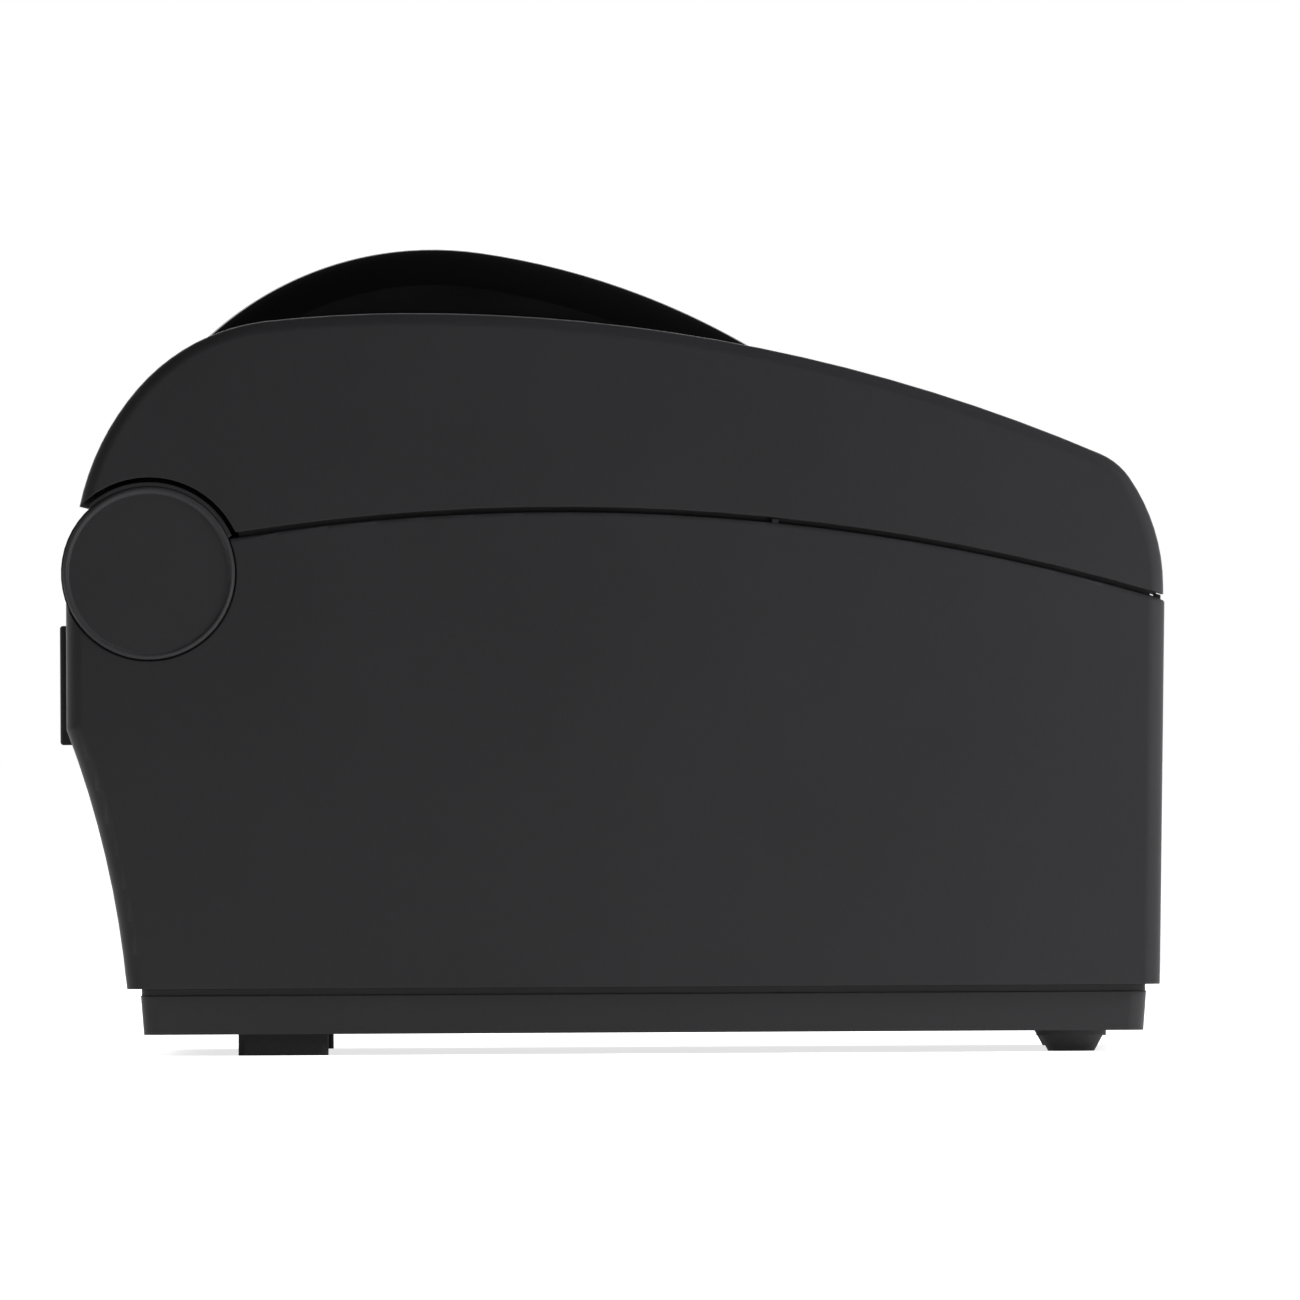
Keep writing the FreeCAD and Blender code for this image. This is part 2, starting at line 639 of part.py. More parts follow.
def housing_room():
    """The hollow of the base housing, open at the seam and at the bottom."""
    inner = DISC_RADIUS - WALL
    wall_x = REAR_WALL_X + WALL
    roll_x = HINGE_X - DISC_RADIUS * 0.67
    top = HINGE_Z + DISC_RADIUS + 20.0
    low = HOUSING_BOTTOM_Z - 5.0
    drum_end_z = HINGE_Z - math.sqrt(inner ** 2 - (wall_x - HINGE_X) ** 2)
    low_x = tuck_centre()[0] + math.sqrt((TUCK_RADIUS + WALL) ** 2 - (low - TUCK_CENTRE_Z) ** 2)
    outline = Outline(FRONT_FOOT_X - WALL, low)
    outline.line(FRONT_X - WALL, seam_z(FRONT_X))
    outline.line(FRONT_X - WALL, top)
    outline.line(roll_x, top)
    outline.line(roll_x, HINGE_Z + math.sqrt(inner ** 2 - (roll_x - HINGE_X) ** 2))
    outline.arc((HINGE_X, HINGE_Z), (wall_x, drum_end_z))
    outline.line(wall_x, tuck_z(wall_x, WALL))
    outline.arc(tuck_centre(), (low_x, low), turn=-1)
    return outline.prism(-INNER_HALF, INNER_HALF)


def pocket_space():
    """The hollow in which the release lever stands, as x0, x1, y0, y1, z0, z1."""
    x0 = LATCH_X - LATCH_RADIUS - 5.0
    x1 = LATCH_X + LEVER_LENGTH + 3.0
    z0 = LATCH_Z - LEVER_HEIGHT / 2 - FINGER_ROOM
    z1 = seam_z(x1 + POCKET_WALL + POCKET_FLANGE, DECK_LOW_R) - POCKET_WALL - PIECE_GAP
    return x0, x1, INNER_HALF - POCKET_DEPTH, HALF_WIDTH, z0, z1


def pocket_block(grow, y0, y1):
    """The pocket's outline grown all round, from y0 to y1."""
    x0, x1, _, _, z0, z1 = pocket_space()
    return box(x0 - grow, x1 + grow, y0, y1, z0 - grow, z1 + grow)


def lever_pocket():
    """Cup set into the left wall from inside, with a flange behind the wall."""
    x0, x1, y0, y1, z0, z1 = pocket_space()
    cup = pocket_block(POCKET_WALL, y0 - POCKET_WALL, y1)
    reach = POCKET_WALL + POCKET_FLANGE
    flange = box(x0 - reach, x1 + reach, INNER_HALF - POCKET_WALL, INNER_HALF, z0 - reach, z1 + POCKET_WALL)
    hollow = pocket_block(0.0, y0, y1 + 1.0)
    shaft_hole = rod(LATCH_X, LATCH_Z, LATCH_RADIUS + LATCH_GAP, y0 - 2 * POCKET_WALL, y0 + 1.0)
    return join(cup, flange).cut([hollow, shaft_hole])


def panel_surround():
    """Short tunnel from the tucked-in back to the socket panel: its walls and its hollow."""
    z0 = PANEL_LOW_Z
    z1 = z0 + PANEL_HEIGHT
    half = PANEL_HALF_WIDTH
    rim = PANEL_RIM
    walls = box(REAR_WALL_X - 5.0, PANEL_X, -half - rim, half + rim, z0 - rim, z1 + rim)
    outside = tuck_centre()
    walls = walls.cut(rod(outside[0], outside[1], TUCK_RADIUS + WALL / 2, -HALF_WIDTH, HALF_WIDTH))
    hollow = box(REAR_WALL_X - 5.0, PANEL_X + 1.0, -half, half, z0, z1)
    return walls, hollow


def slot_hollow(x0, x1, gap=0.0):
    """The rear slot as a bar of space from x0 to x1."""
    half_height = SLOT_HEIGHT / 2 + gap
    half = SLOT_HALF_WIDTH + gap
    return box(x0, x1, -half, half, SLOT_Z - half_height, SLOT_Z + half_height)


def screw_bosses():
    """Bosses in the housing for the screws of the bottom plate, each webbed to its side wall."""
    bosses = []
    for x, y in bottom_screw_places():
        side = math.copysign(1.0, y)
        web_y = sorted((y, side * (INNER_HALF + WALL / 2)))
        top = HOUSING_BOTTOM_Z + PAN_LIP + 14.0
        pillar = post(x, y, PAN_BOSS_RADIUS, PAN_FLOOR_Z + 0.1, top)
        web = box(x - 1.2, x + 1.2, web_y[0], web_y[1], HOUSING_BOTTOM_Z + PAN_LIP + 1.0, top)
        bosses.append(pillar.fuse(web).cut(post(x, y, 1.4, PAN_FLOOR_Z - 1.0, FOOT_HEIGHT + 12.0)))
    return bosses


def deck_columns():
    """Columns on the side walls on which the label deck rests."""
    above = seam_slab(DECK_LOW_R, SEAM_RADIUS + 60.0, REAR_X, FRONT_X, -INNER_HALF, INNER_HALF)
    columns = []
    for x in (ROLL_X - COLUMN_REAR, ROLL_X + COLUMN_FRONT):
        top = seam_z(x, DECK_LOW_R)
        column = box(x - 4.0, x + 4.0, INNER_HALF - 7.0, INNER_HALF + WALL / 2, top - 40.0, top + 4.0)
        columns += both(column.cut(above))
    return columns


def seam_stops():
    """Ribs on the rim on which the cover comes to rest, at the sides and near the front corners."""
    low = SEAM_RADIUS - 4.0
    high = COVER_SEAM_R - PIECE_GAP
    side = seam_slab(low, high, SEAM_STOP_X, SEAM_STOP_X + SEAM_STOP, INNER_HALF, HALF_WIDTH - RIM_RADIUS)
    y1 = INNER_HALF - FRONT_STOP_INSET
    front = seam_slab(low, high, FRONT_X - WALL, FRONT_X - RIM_RADIUS, y1 - 4 * SEAM_STOP, y1)
    return both(side) + both(front)


def base_housing():
    shell = housing_form().cut(housing_room())
    bosses = both(rod(HINGE_X, HINGE_Z, DISC_RADIUS, BOSS_INNER_Y, INNER_HALF + WALL / 2))
    surround, panel_room = panel_surround()
    shell = join(shell, *bosses, *deck_columns(), *seam_stops(), *screw_bosses(), surround)
    cuts = [panel_room, pocket_block(POCKET_WALL + FIT_GAP, INNER_HALF - 1.0, HALF_WIDTH + 1.0),
            slot_hollow(REAR_X - 1.0, REAR_WALL_X + 2 * WALL, BEZEL_SLEEVE + FIT_GAP)]
    seat_y = HALF_WIDTH - CAP_SEAT
    seat = rod(HINGE_X, HINGE_Z, DISC_RADIUS + 0.05, seat_y, HALF_WIDTH + 5.0)
    pin_hole = rod(HINGE_X, HINGE_Z, PIN_RADIUS + 0.02, BOSS_INNER_Y - 1.0, seat_y + 1.0)
    reach = DRUM_RADIUS + DRUM_GAP + 0.3
    drum_room = rod(HINGE_X, HINGE_Z, reach, DRUM_INNER_Y - DRUM_GAP, BOSS_INNER_Y)
    above = box(REAR_X, HINGE_X, DRUM_INNER_Y - DRUM_GAP, BOSS_INNER_Y, HINGE_Z, HINGE_Z + 40.0)
    for cut in (seat, pin_hole, drum_room, above):
        cuts += both(cut)
    return shell.cut(cuts)


def tapered_block(x0, x1, half, z0, z1, draft, corner):
    """Block that narrows towards its bottom, with rounded upright corners."""
    def ring(x_in, z):
        points = [Vec(x0 + x_in, -half + x_in, z), Vec(x1 - x_in, -half + x_in, z),
                  Vec(x1 - x_in, half - x_in, z), Vec(x0 + x_in, half - x_in, z)]
        return Part.makePolygon(points + points[:1])
    block = Part.makeLoft([ring(draft, z0), ring(0.0, z1)], True, True)
    edges = [edge for edge in block.Edges if edge.BoundBox.ZLength > (z1 - z0) / 2]
    return block.makeFillet(corner, edges)


def frame_posts():
    return [(x, y) for x in (FRAME_REAR_X + 7.0, FRAME_FRONT_X - 7.0) for y in (-46.0, 46.0)]


def board_posts():
    x0 = PANEL_X + 14.0
    return [(x, y) for x in (x0, x0 + BOARD_LENGTH - 26.0)
            for y in (8.0 - BOARD_HALF_WIDTH, BOARD_HALF_WIDTH - 8.0)]


def bottom_screw_places():
    return [(x, y) for x in (PAN_REAR_X + 12.0, PAN_FRONT_X - 24.0)
            for y in (-PAN_SCREW_Y, PAN_SCREW_Y)]


def bottom_plate():
    top = HOUSING_BOTTOM_Z + PAN_LIP
    outer = tapered_block(PAN_REAR_X, PAN_FRONT_X, PAN_HALF, FOOT_HEIGHT, top, PAN_DRAFT, CORNER_RADIUS)
    inset = WALL + PAN_DRAFT
    room = box(PAN_REAR_X + inset, PAN_FRONT_X - inset, inset - PAN_HALF, PAN_HALF - inset,
               PAN_FLOOR_Z, top + 1.0)
    groove_z = HOUSING_BOTTOM_Z - GROOVE_HEIGHT
    core_inset = PAN_DRAFT + GROOVE_DEPTH
    groove = box(PAN_REAR_X - 1.0, PAN_FRONT_X + 1.0, -HALF_WIDTH, HALF_WIDTH, groove_z, HOUSING_BOTTOM_Z)
    core = box(PAN_REAR_X + core_inset, PAN_FRONT_X - core_inset,
               core_inset - PAN_HALF, PAN_HALF - core_inset, groove_z, HOUSING_BOTTOM_Z)
    pan = outer.cut([room, groove.cut(core)])
    posts = [post(x, y, 5.0, PAN_FLOOR_Z - 1.0, FRAME_FLOOR_Z) for x, y in frame_posts()]
    posts += [post(x, y, 4.0, PAN_FLOOR_Z - 1.0, BOARD_Z) for x, y in board_posts()]
    pan = join(pan, *posts)
    holes = [post(x, y, 1.5, FRAME_FLOOR_Z - 8.0, FRAME_FLOOR_Z + 1.0) for x, y in frame_posts()]
    holes += [post(x, y, 1.5, BOARD_Z - 6.0, BOARD_Z + 1.0) for x, y in board_posts()]
    for x, y in bottom_screw_places():
        holes.append(post(x, y, 4.0, FOOT_HEIGHT - 1.0, FOOT_HEIGHT + 1.4))
        holes.append(post(x, y, 1.6, FOOT_HEIGHT, PAN_FLOOR_Z + 1.0))
    vents = []
    for n in range(VENTS):
        x = VENT_PITCH * (n - VENTS / 2)
        vents.append(box(x, x + VENT_WIDTH, -VENT_HALF_LENGTH, VENT_HALF_LENGTH,
                         FOOT_HEIGHT - 1.0, PAN_FLOOR_Z + 1.0))
    reach = PANEL_HALF_WIDTH + PANEL_RIM + PIECE_GAP
    panel_notch = box(PAN_REAR_X - 1.0, PANEL_X + PANEL + PIECE_GAP, -reach, reach,
                      PANEL_LOW_Z - PANEL_RIM - PIECE_GAP, top + 1.0)
    return pan.cut(holes + vents + [panel_notch])


def screw(x, y, head_radius, head_z, head_height, shank_z):
    """Pan-head screw with a cross recess; the head lies from head_z towards the open side."""
    low = min(head_z, head_z + head_height)
    head = post(x, y, head_radius, low, low + abs(head_height))
    shank_low = min(head_z, shank_z)
    shank = post(x, y, 1.4, shank_low, max(head_z, shank_z))
    face = head_z + head_height
    depth = 0.8
    cross = [box(x - a, x + a, y - b, y + b, face - depth, face + depth)
             for a, b in ((1.6, 0.35), (0.35, 1.6))]
    return head.fuse(shank).cut(cross)


def rear_feet():
    x0 = REAR_X + REAR_FOOT_INSET
    y0 = PAN_HALF - PAN_DRAFT - REAR_FOOT_WIDTH - 2.0
    foot = box(x0, x0 + REAR_FOOT_LENGTH, y0, y0 + REAR_FOOT_WIDTH, 0.0, FOOT_HEIGHT)
    edges = [edge for edge in foot.Edges if edge.BoundBox.ZLength > 1.0]
    return both(foot.makeFillet(2.0, edges))


def front_feet():
    x = FRONT_X - FRONT_FOOT_INSET
    y = PAN_HALF - PAN_DRAFT - FRONT_FOOT_TOP - 16.0
    pad = post(x, y, FRONT_FOOT_TOP, FOOT_HEIGHT - 1.4, FOOT_HEIGHT)
    cone = Part.makeCone(FRONT_FOOT_BOTTOM, FRONT_FOOT_TOP - 0.8, FOOT_HEIGHT - 1.4, Vec(x, y, 0.0))
    return both(join(pad, cone))


def hinge_caps():
    """Flush discs over the hinge ends, each with a raised bead round its rim."""
    radius = DISC_RADIUS - CAP_GAP
    face_y = HALF_WIDTH + CAP_PROUD
    disc = rod(HINGE_X, HINGE_Z, radius, HALF_WIDTH - CAP_SEAT, HALF_WIDTH)
    bead = rod(HINGE_X, HINGE_Z, radius, HALF_WIDTH, face_y)
    bead = bead.cut(rod(HINGE_X, HINGE_Z, radius - CAP_BEAD, HALF_WIDTH - 1.0, face_y + 1.0))
    edges = [edge for edge in bead.Edges if edge.BoundBox.YMin > face_y - 0.01]
    return both(join(disc, bead.makeChamfer(CAP_PROUD * 0.9, edges)))


def hinge_pins():
    return both(rod(HINGE_X, HINGE_Z, PIN_RADIUS, DRUM_INNER_Y + 1.0, HALF_WIDTH - CAP_SEAT - 0.2))


def rear_slot_bezel():
    half = SLOT_HALF_WIDTH + BEZEL_MARGIN
    z0 = SLOT_Z - BEZEL_HEIGHT / 2
    z1 = SLOT_Z + BEZEL_HEIGHT / 2
    block = box(REAR_X, REAR_WALL_X + WALL, -half, half, z0, z1)
    rim = [edge for edge in block.Edges if edge.BoundBox.XMax < REAR_X + 0.01]
    block = block.makeFillet(0.8, rim)
    sleeve = slot_hollow(REAR_WALL_X, REAR_WALL_X + WALL + 1.0, BEZEL_SLEEVE)
    throat = slot_hollow(REAR_X - 1.0, REAR_WALL_X + 2 * WALL)
    return join(block.cut(housing_form()), sleeve).cut(throat)


def roll_room():
    return rod(ROLL_X, ROLL_Z, BAY_RADIUS, -BAY_HALF_WIDTH, BAY_HALF_WIDTH)


def roll_bay():
    """Trough under the label deck that takes the roll, with the pivot of the rack pinion."""
    half = BAY_HALF_WIDTH + BAY_WALL
    trough = rod(ROLL_X, ROLL_Z, BAY_RADIUS + BAY_WALL, -half, half)
    pivot = post(ROLL_X, 0.0, PIVOT_RADIUS, RACK_TOP_Z - RACK_HEIGHT - 1.2, BAY_BOTTOM_Z + 1.0)
    above = seam_slab(DECK_LOW_R, SEAM_RADIUS + 90.0, REAR_X, FRONT_X, -HALF_WIDTH, HALF_WIDTH)
    rear_slot = slot_hollow(REAR_X, ROLL_X - BAY_RADIUS / 2)
    inner = HOLDER_FACE_Y - HOLDER_TRAVEL - 2.0
    outer = HOLDER_FACE_Y + HOLDER_THICKNESS + 1.0
    left_slot = box(ROLL_X - rack_back() - SLIDE_GAP, ROLL_X - rack_face() + SLIDE_GAP,
                    inner, outer, BAY_BOTTOM_Z - 1.0, ROLL_Z - 50.0)
    return join(trough, pivot).cut([above, roll_room(), rear_slot, left_slot, turned(left_slot)])


def shaft_hangers():
    """Plates under the deck in which the latch shaft turns."""
    deck_up = seam_slab(DECK_TOP_R - 1.0, SEAM_RADIUS + 60.0, REAR_X, FRONT_X, -HALF_WIDTH, HALF_WIDTH)
    hanger = box(LATCH_X - 5.0, LATCH_X + 5.0, HOOK_Y - 6.5, HOOK_Y - 3.0, LATCH_Z - 5.0, seam_z(LATCH_X))
    return both(hanger.cut(deck_up))


def label_deck():
    """Curved deck between the roll and the platen, with rails along the seam."""
    half = INNER_HALF - PIECE_GAP
    rear_x = HINGE_X + CUT_RADIUS
    front_x = FRONT_X - WALL - 1.0
    rail_r = SEAM_RADIUS + RAIL_RISE
    deck = seam_slab(DECK_LOW_R, DECK_TOP_R, rear_x, front_x, -half, half)
    ledge = seam_slab(DECK_LOW_R, DECK_TOP_R, REAR_WALL_X + WALL + PIECE_GAP, rear_x + 1.0,
                      -LEDGE_HALF_WIDTH, LEDGE_HALF_WIDTH)
    rails = both(seam_slab(DECK_LOW_R, rail_r, HINGE_X + DISC_RADIUS + 0.5, front_x, half - RAIL, half))
    front_rail = seam_slab(DECK_LOW_R, rail_r, front_x - RAIL, front_x, -half, half)
    deck = join(deck, ledge, front_rail, *rails, *shaft_hangers())
    platen_notch = box(DECK_FRONT_X, FRONT_X, -PLATE_Y - PLATE - 4.0, GEAR_ROOM_Y,
                       PLATEN_Z - 40.0, HINGE_Z + 20.0)
    sensor_half = (SENSOR_TRAVEL + SENSOR_WIDTH) / 2 + SLIDE_GAP
    sensor_slot = box(SENSOR_X - SENSOR_LENGTH / 2, SENSOR_X + SENSOR_LENGTH / 2,
                      -sensor_half, sensor_half, HINGE_Z - 20.0, HINGE_Z + 20.0)
    hook_slot = box(LATCH_X - HOOK_THICKNESS / 2 - 6.0, LATCH_X + HOOK_THICKNESS / 2 + 1.5,
                    HOOK_Y - 1.0, HOOK_Y + HOOK_WIDTH + 1.0, LATCH_Z, HINGE_Z + 20.0)
    shaft_hole = rod(LATCH_X, LATCH_Z, LATCH_RADIUS + RUNNING_GAP, -HALF_WIDTH, HALF_WIDTH)
    return deck.cut([roll_room(), platen_notch, sensor_slot, shaft_hole] + both(hook_slot))


# Roll holders

def turned(shape):
    """The same piece turned half round about the rack pinion's axis."""
    copy = shape.copy()
    copy.rotate(Vec(ROLL_X, 0, 0), Vec(0, 0, 1), 180)
    return copy


def rack_face():
    """Distance of the rack's tooth roots from the pinion's axis."""
    return RACK_PITCH_RADIUS + TOOTH_DEDENDUM * RACK_MODULE


def rack_back():
    return rack_face() + RACK_BODY


def rack(y0, y1):
    """Straight rack behind the pinion with its teeth towards +X."""
    z0 = RACK_TOP_Z - RACK_HEIGHT
    bar = box(ROLL_X - rack_back(), ROLL_X - rack_face(), y0, y1, z0, RACK_TOP_Z)
    pitch = math.pi * RACK_MODULE
    slope = math.tan(math.radians(20.0))
    tip = TOOTH_ADDENDUM * RACK_MODULE
    root = TOOTH_DEDENDUM * RACK_MODULE
    half = pitch / 4 - BACKLASH / 2
    teeth = []
    first = math.ceil((y0 + 2.0) / pitch)
    last = math.floor((y1 - 16.0) / pitch)
    for n in range(first, last):
        y = (n + 0.5) * pitch
        x_root = ROLL_X - RACK_PITCH_RADIUS - root - 0.2
        x_tip = ROLL_X - RACK_PITCH_RADIUS + tip
        wide = half + (root + 0.2) * slope
        narrow = half - tip * slope
        points = [Vec(x_root, y - wide, z0), Vec(x_tip, y - narrow, z0),
                  Vec(x_tip, y + narrow, z0), Vec(x_root, y + wide, z0)]
        face = Part.Face(Part.makePolygon(points + points[:1]))
        teeth.append(face.extrude(Vec(0, 0, RACK_HEIGHT)))
    return join(bar, *teeth)


def roll_holder():
    """Left holder: an upright on the trough floor, its hub axle, and its rack under the floor."""
    y0 = HOLDER_FACE_Y
    y1 = HOLDER_FACE_Y + HOLDER_THICKNESS
    half = HOLDER_FOOT_LENGTH / 2
    top = HOLDER_TOP_RADIUS
    upright = polygon([(ROLL_X - half, ROLL_Z - BAY_RADIUS), (ROLL_X + half, ROLL_Z - BAY_RADIUS),
                       (ROLL_X + top, ROLL_Z), (ROLL_X - top, ROLL_Z)], y0, y1)
    upright = upright.fuse(rod(ROLL_X, ROLL_Z, top, y0, y1))
    upright = upright.common(rod(ROLL_X, ROLL_Z, BAY_RADIUS - SLIDE_GAP, y0, y1))
    pocket = polygon([(ROLL_X - half * 0.55, ROLL_Z - BAY_RADIUS + 17.0),
                      (ROLL_X + half * 0.55, ROLL_Z - BAY_RADIUS + 17.0),
                      (ROLL_X + top * 0.5, ROLL_Z - top - 4.0),
                      (ROLL_X - top * 0.5, ROLL_Z - top - 4.0)], y0 + 2.2, y1 + 1.0)
    upright = upright.cut(pocket)
    neck = box(ROLL_X - rack_back(), ROLL_X - rack_face(), y0, y1,
               RACK_TOP_Z - RACK_HEIGHT, BAY_BOTTOM_Z + BAY_WALL + 8.0)
    axle = rod(ROLL_X, ROLL_Z, AXLE_RADIUS, y0 - HUB_LENGTH + 1.0, y0 + 1.0)
    return join(upright, neck, axle, rack(-11.0, y1))


def roll_hub():
    """Left hub: a flange and a stub that fits a label core, turning on the holder's axle."""
    y1 = HOLDER_FACE_Y - HUB_GAP
    y0 = HOLDER_FACE_Y - HUB_LENGTH
    flange = rod(ROLL_X, ROLL_Z, HUB_FLANGE_RADIUS, y1 - HUB_FLANGE, y1)
    stub = rod(ROLL_X, ROLL_Z, HUB_RADIUS, y0, y1)
    edges = [edge for edge in stub.Edges if edge.BoundBox.YLength < 0.01 and edge.BoundBox.YMin < y0 + 0.1]
    stub = stub.makeChamfer(1.2, edges)
    bore = rod(ROLL_X, ROLL_Z, AXLE_RADIUS + RUNNING_GAP, y0 - 1.0, y1 + 1.0)
    return join(flange, stub).cut(bore)


# Gears

def gear_profile(teeth, module, phase):
    """Points of an involute gear outline, as edges of a wire in a plane of (u, v)."""
    pitch_r = teeth * module / 2
    base_r = pitch_r * math.cos(math.radians(20.0))
    tip_r = pitch_r + TOOTH_ADDENDUM * module
    root_r = pitch_r - TOOTH_DEDENDUM * module
    start_r = max(base_r, root_r)

    def involute(radius):
        return math.sqrt(max((radius / base_r) ** 2 - 1, 0)) - math.acos(min(base_r / radius, 1))

    def half_angle(radius):
        at_pitch = math.pi / (2 * teeth) - BACKLASH / (2 * pitch_r)
        return at_pitch + involute(pitch_r) - involute(radius)

    def spot(radius, angle):
        return (radius * math.cos(angle), radius * math.sin(angle))

    edges = []
    step = 2 * math.pi / teeth
    middle_r = (start_r + tip_r) / 2
    for n in range(teeth):
        centre = phase + n * step
        low = half_angle(start_r)
        rise = [spot(r, centre - half_angle(r)) for r in (start_r, middle_r, tip_r)]
        fall = [spot(r, centre + half_angle(r)) for r in (tip_r, middle_r, start_r)]
        root_in = spot(root_r, centre - low)
        root_out = spot(root_r, centre + low)
        root_next = spot(root_r, centre + step - low)
        edges.append((root_in, rise[0]))
        edges.append(tuple(rise))
        edges.append((rise[2], fall[0]))
        edges.append(tuple(fall))
        edges.append((fall[2], root_out))
        edges.append((root_out, root_next))
    return [edge for edge in edges if math.dist(edge[0], edge[-1]) > 1e-6]


def gear_solid(edges, place, depth):
    """Extrude a gear outline; place turns (u, v) into a point and depth is the extrusion."""
    shapes = []
    for edge in edges:
        points = [place(u, v) for u, v in edge]
        curve = Part.LineSegment(*points) if len(points) == 2 else Part.Arc(*points)
        shapes.append(curve.toShape())
    return Part.Face(Part.Wire(shapes)).extrude(depth)


def side_gear(x, z, teeth, phase, y0, width=GEAR_WIDTH):
    edges = gear_profile(teeth, GEAR_MODULE, phase)
    return gear_solid(edges, lambda u, v: Vec(x + u, y0, z + v), Vec(0, width, 0))


def platen_gear():
    gear = side_gear(PLATEN_X, PLATEN_Z, PLATEN_TEETH, IDLER_ANGLE, GEAR_Y)
    return gear.cut(rod(PLATEN_X, PLATEN_Z, SHAFT_RADIUS, GEAR_Y - 1.0, GEAR_Y + GEAR_WIDTH + 1.0))


def idler_gear():
    small_phase = IDLER_ANGLE + math.pi + math.pi / IDLER_SMALL_TEETH
    small = side_gear(IDLER_X, IDLER_Z, IDLER_SMALL_TEETH, small_phase, GEAR_Y, GEAR_WIDTH + GEAR_GAP)
    large = side_gear(IDLER_X, IDLER_Z, IDLER_LARGE_TEETH, MOTOR_ANGLE, GEAR_OUTER_Y)
    bore = rod(IDLER_X, IDLER_Z, IDLER_AXLE_RADIUS + RUNNING_GAP, GEAR_Y - 1.0, GEAR_ROOM_Y)
    holes = []
    for n in range(5):
        angle = 2 * math.pi * n / 5
        holes.append(rod(IDLER_X + 10.6 * math.cos(angle), IDLER_Z + 10.6 * math.sin(angle), 2.4,
                         GEAR_OUTER_Y - 0.5, GEAR_ROOM_Y))
    return small.fuse(large).cut([bore] + holes)


def motor_pinion():
    phase = MOTOR_ANGLE + math.pi + math.pi / MOTOR_TEETH
    gear = side_gear(MOTOR_X, MOTOR_Z, MOTOR_TEETH, phase, GEAR_OUTER_Y)
    return gear.cut(rod(MOTOR_X, MOTOR_Z, MOTOR_SHAFT_RADIUS, GEAR_OUTER_Y - 1.0, GEAR_ROOM_Y))


def rack_pinion():
    edges = gear_profile(RACK_PINION_TEETH, RACK_MODULE, 0.0)
    z0 = RACK_TOP_Z - RACK_HEIGHT
    gear = gear_solid(edges, lambda u, v: Vec(ROLL_X + u, v, z0), Vec(0, 0, RACK_HEIGHT))
    return gear.cut(post(ROLL_X, 0.0, PIVOT_RADIUS + RUNNING_GAP, z0 - 1.0, RACK_TOP_Z + 1.0))


def pinion_clip():
    z1 = RACK_TOP_Z - RACK_HEIGHT - 0.3
    ring = post(ROLL_X, 0.0, 5.5, z1 - 0.8, z1)
    return ring.cut(post(ROLL_X, 0.0, PIVOT_RADIUS + 0.02, z1 - 2.0, z1 + 1.0))


# Platen and drive

def platen_shaft():
    long_end = GEAR_Y + GEAR_WIDTH
    shaft = rod(PLATEN_X, PLATEN_Z, SHAFT_RADIUS, -PLATE_Y - PLATE - 3.0, long_end)
    edges = [edge for edge in shaft.Edges if edge.BoundBox.YLength < 0.01]
    return shaft.makeChamfer(0.4, edges)


def platen_rubber():
    half = PLATEN_LENGTH / 2
    sleeve = rod(PLATEN_X, PLATEN_Z, PLATEN_RADIUS, -half, half)
    edges = [edge for edge in sleeve.Edges if edge.BoundBox.YLength < 0.01]
    sleeve = sleeve.makeChamfer(0.5, edges)
    return sleeve.cut(rod(PLATEN_X, PLATEN_Z, SHAFT_RADIUS, -half - 1.0, half + 1.0))


def platen_bush():
    sleeve = rod(PLATEN_X, PLATEN_Z, BUSH_RADIUS, PLATE_Y, PLATE_Y + PLATE + 1.0)
    flange = rod(PLATEN_X, PLATEN_Z, BUSH_RADIUS + 1.5, PLATE_Y - 1.2, PLATE_Y)
    bore = rod(PLATEN_X, PLATEN_Z, SHAFT_RADIUS + RUNNING_GAP, PLATE_Y - 3.0, PLATE_Y + PLATE + 3.0)
    return join(sleeve, flange).cut(bore)


def platen_frame():
    """Bent steel frame that carries the platen, the motor and the idler axle."""
    top = PLATEN_Z + BUSH_RADIUS + 0.6
    step = LATCH_Z - LATCH_RADIUS - 3.0
    step_x = LATCH_X + LATCH_RADIUS + 6.0
    side = polygon([(FRAME_REAR_X, FRAME_FLOOR_Z), (FRAME_FRONT_X, FRAME_FLOOR_Z), (FRAME_FRONT_X, top),
                    (PLATEN_X - 9.0, top), (step_x, step), (FRAME_REAR_X, step)],
                   PLATE_Y, PLATE_Y + PLATE)
    side = side.cut(rod(PLATEN_X, PLATEN_Z, BUSH_RADIUS + 0.02, PLATE_Y - 1.0, PLATE_Y + 3.0))
    half = PLATE_Y + PLATE
    floor = box(FRAME_REAR_X, FRAME_FRONT_X, -half, half, FRAME_FLOOR_Z, FRAME_FLOOR_Z + PLATE)
    front = box(FRAME_FRONT_X - PLATE, FRAME_FRONT_X, -half, half, FRAME_FLOOR_Z, top)
    frame = join(floor, front, *both(side))
    holes = [post(x, y, 1.7, FRAME_FLOOR_Z - 1.0, FRAME_FLOOR_Z + 3.0) for x, y in frame_posts()]
    holes.append(rod(MOTOR_X, MOTOR_Z, 8.0, PLATE_Y - 1.0, PLATE_Y + 3.0))
    return frame.cut(holes)


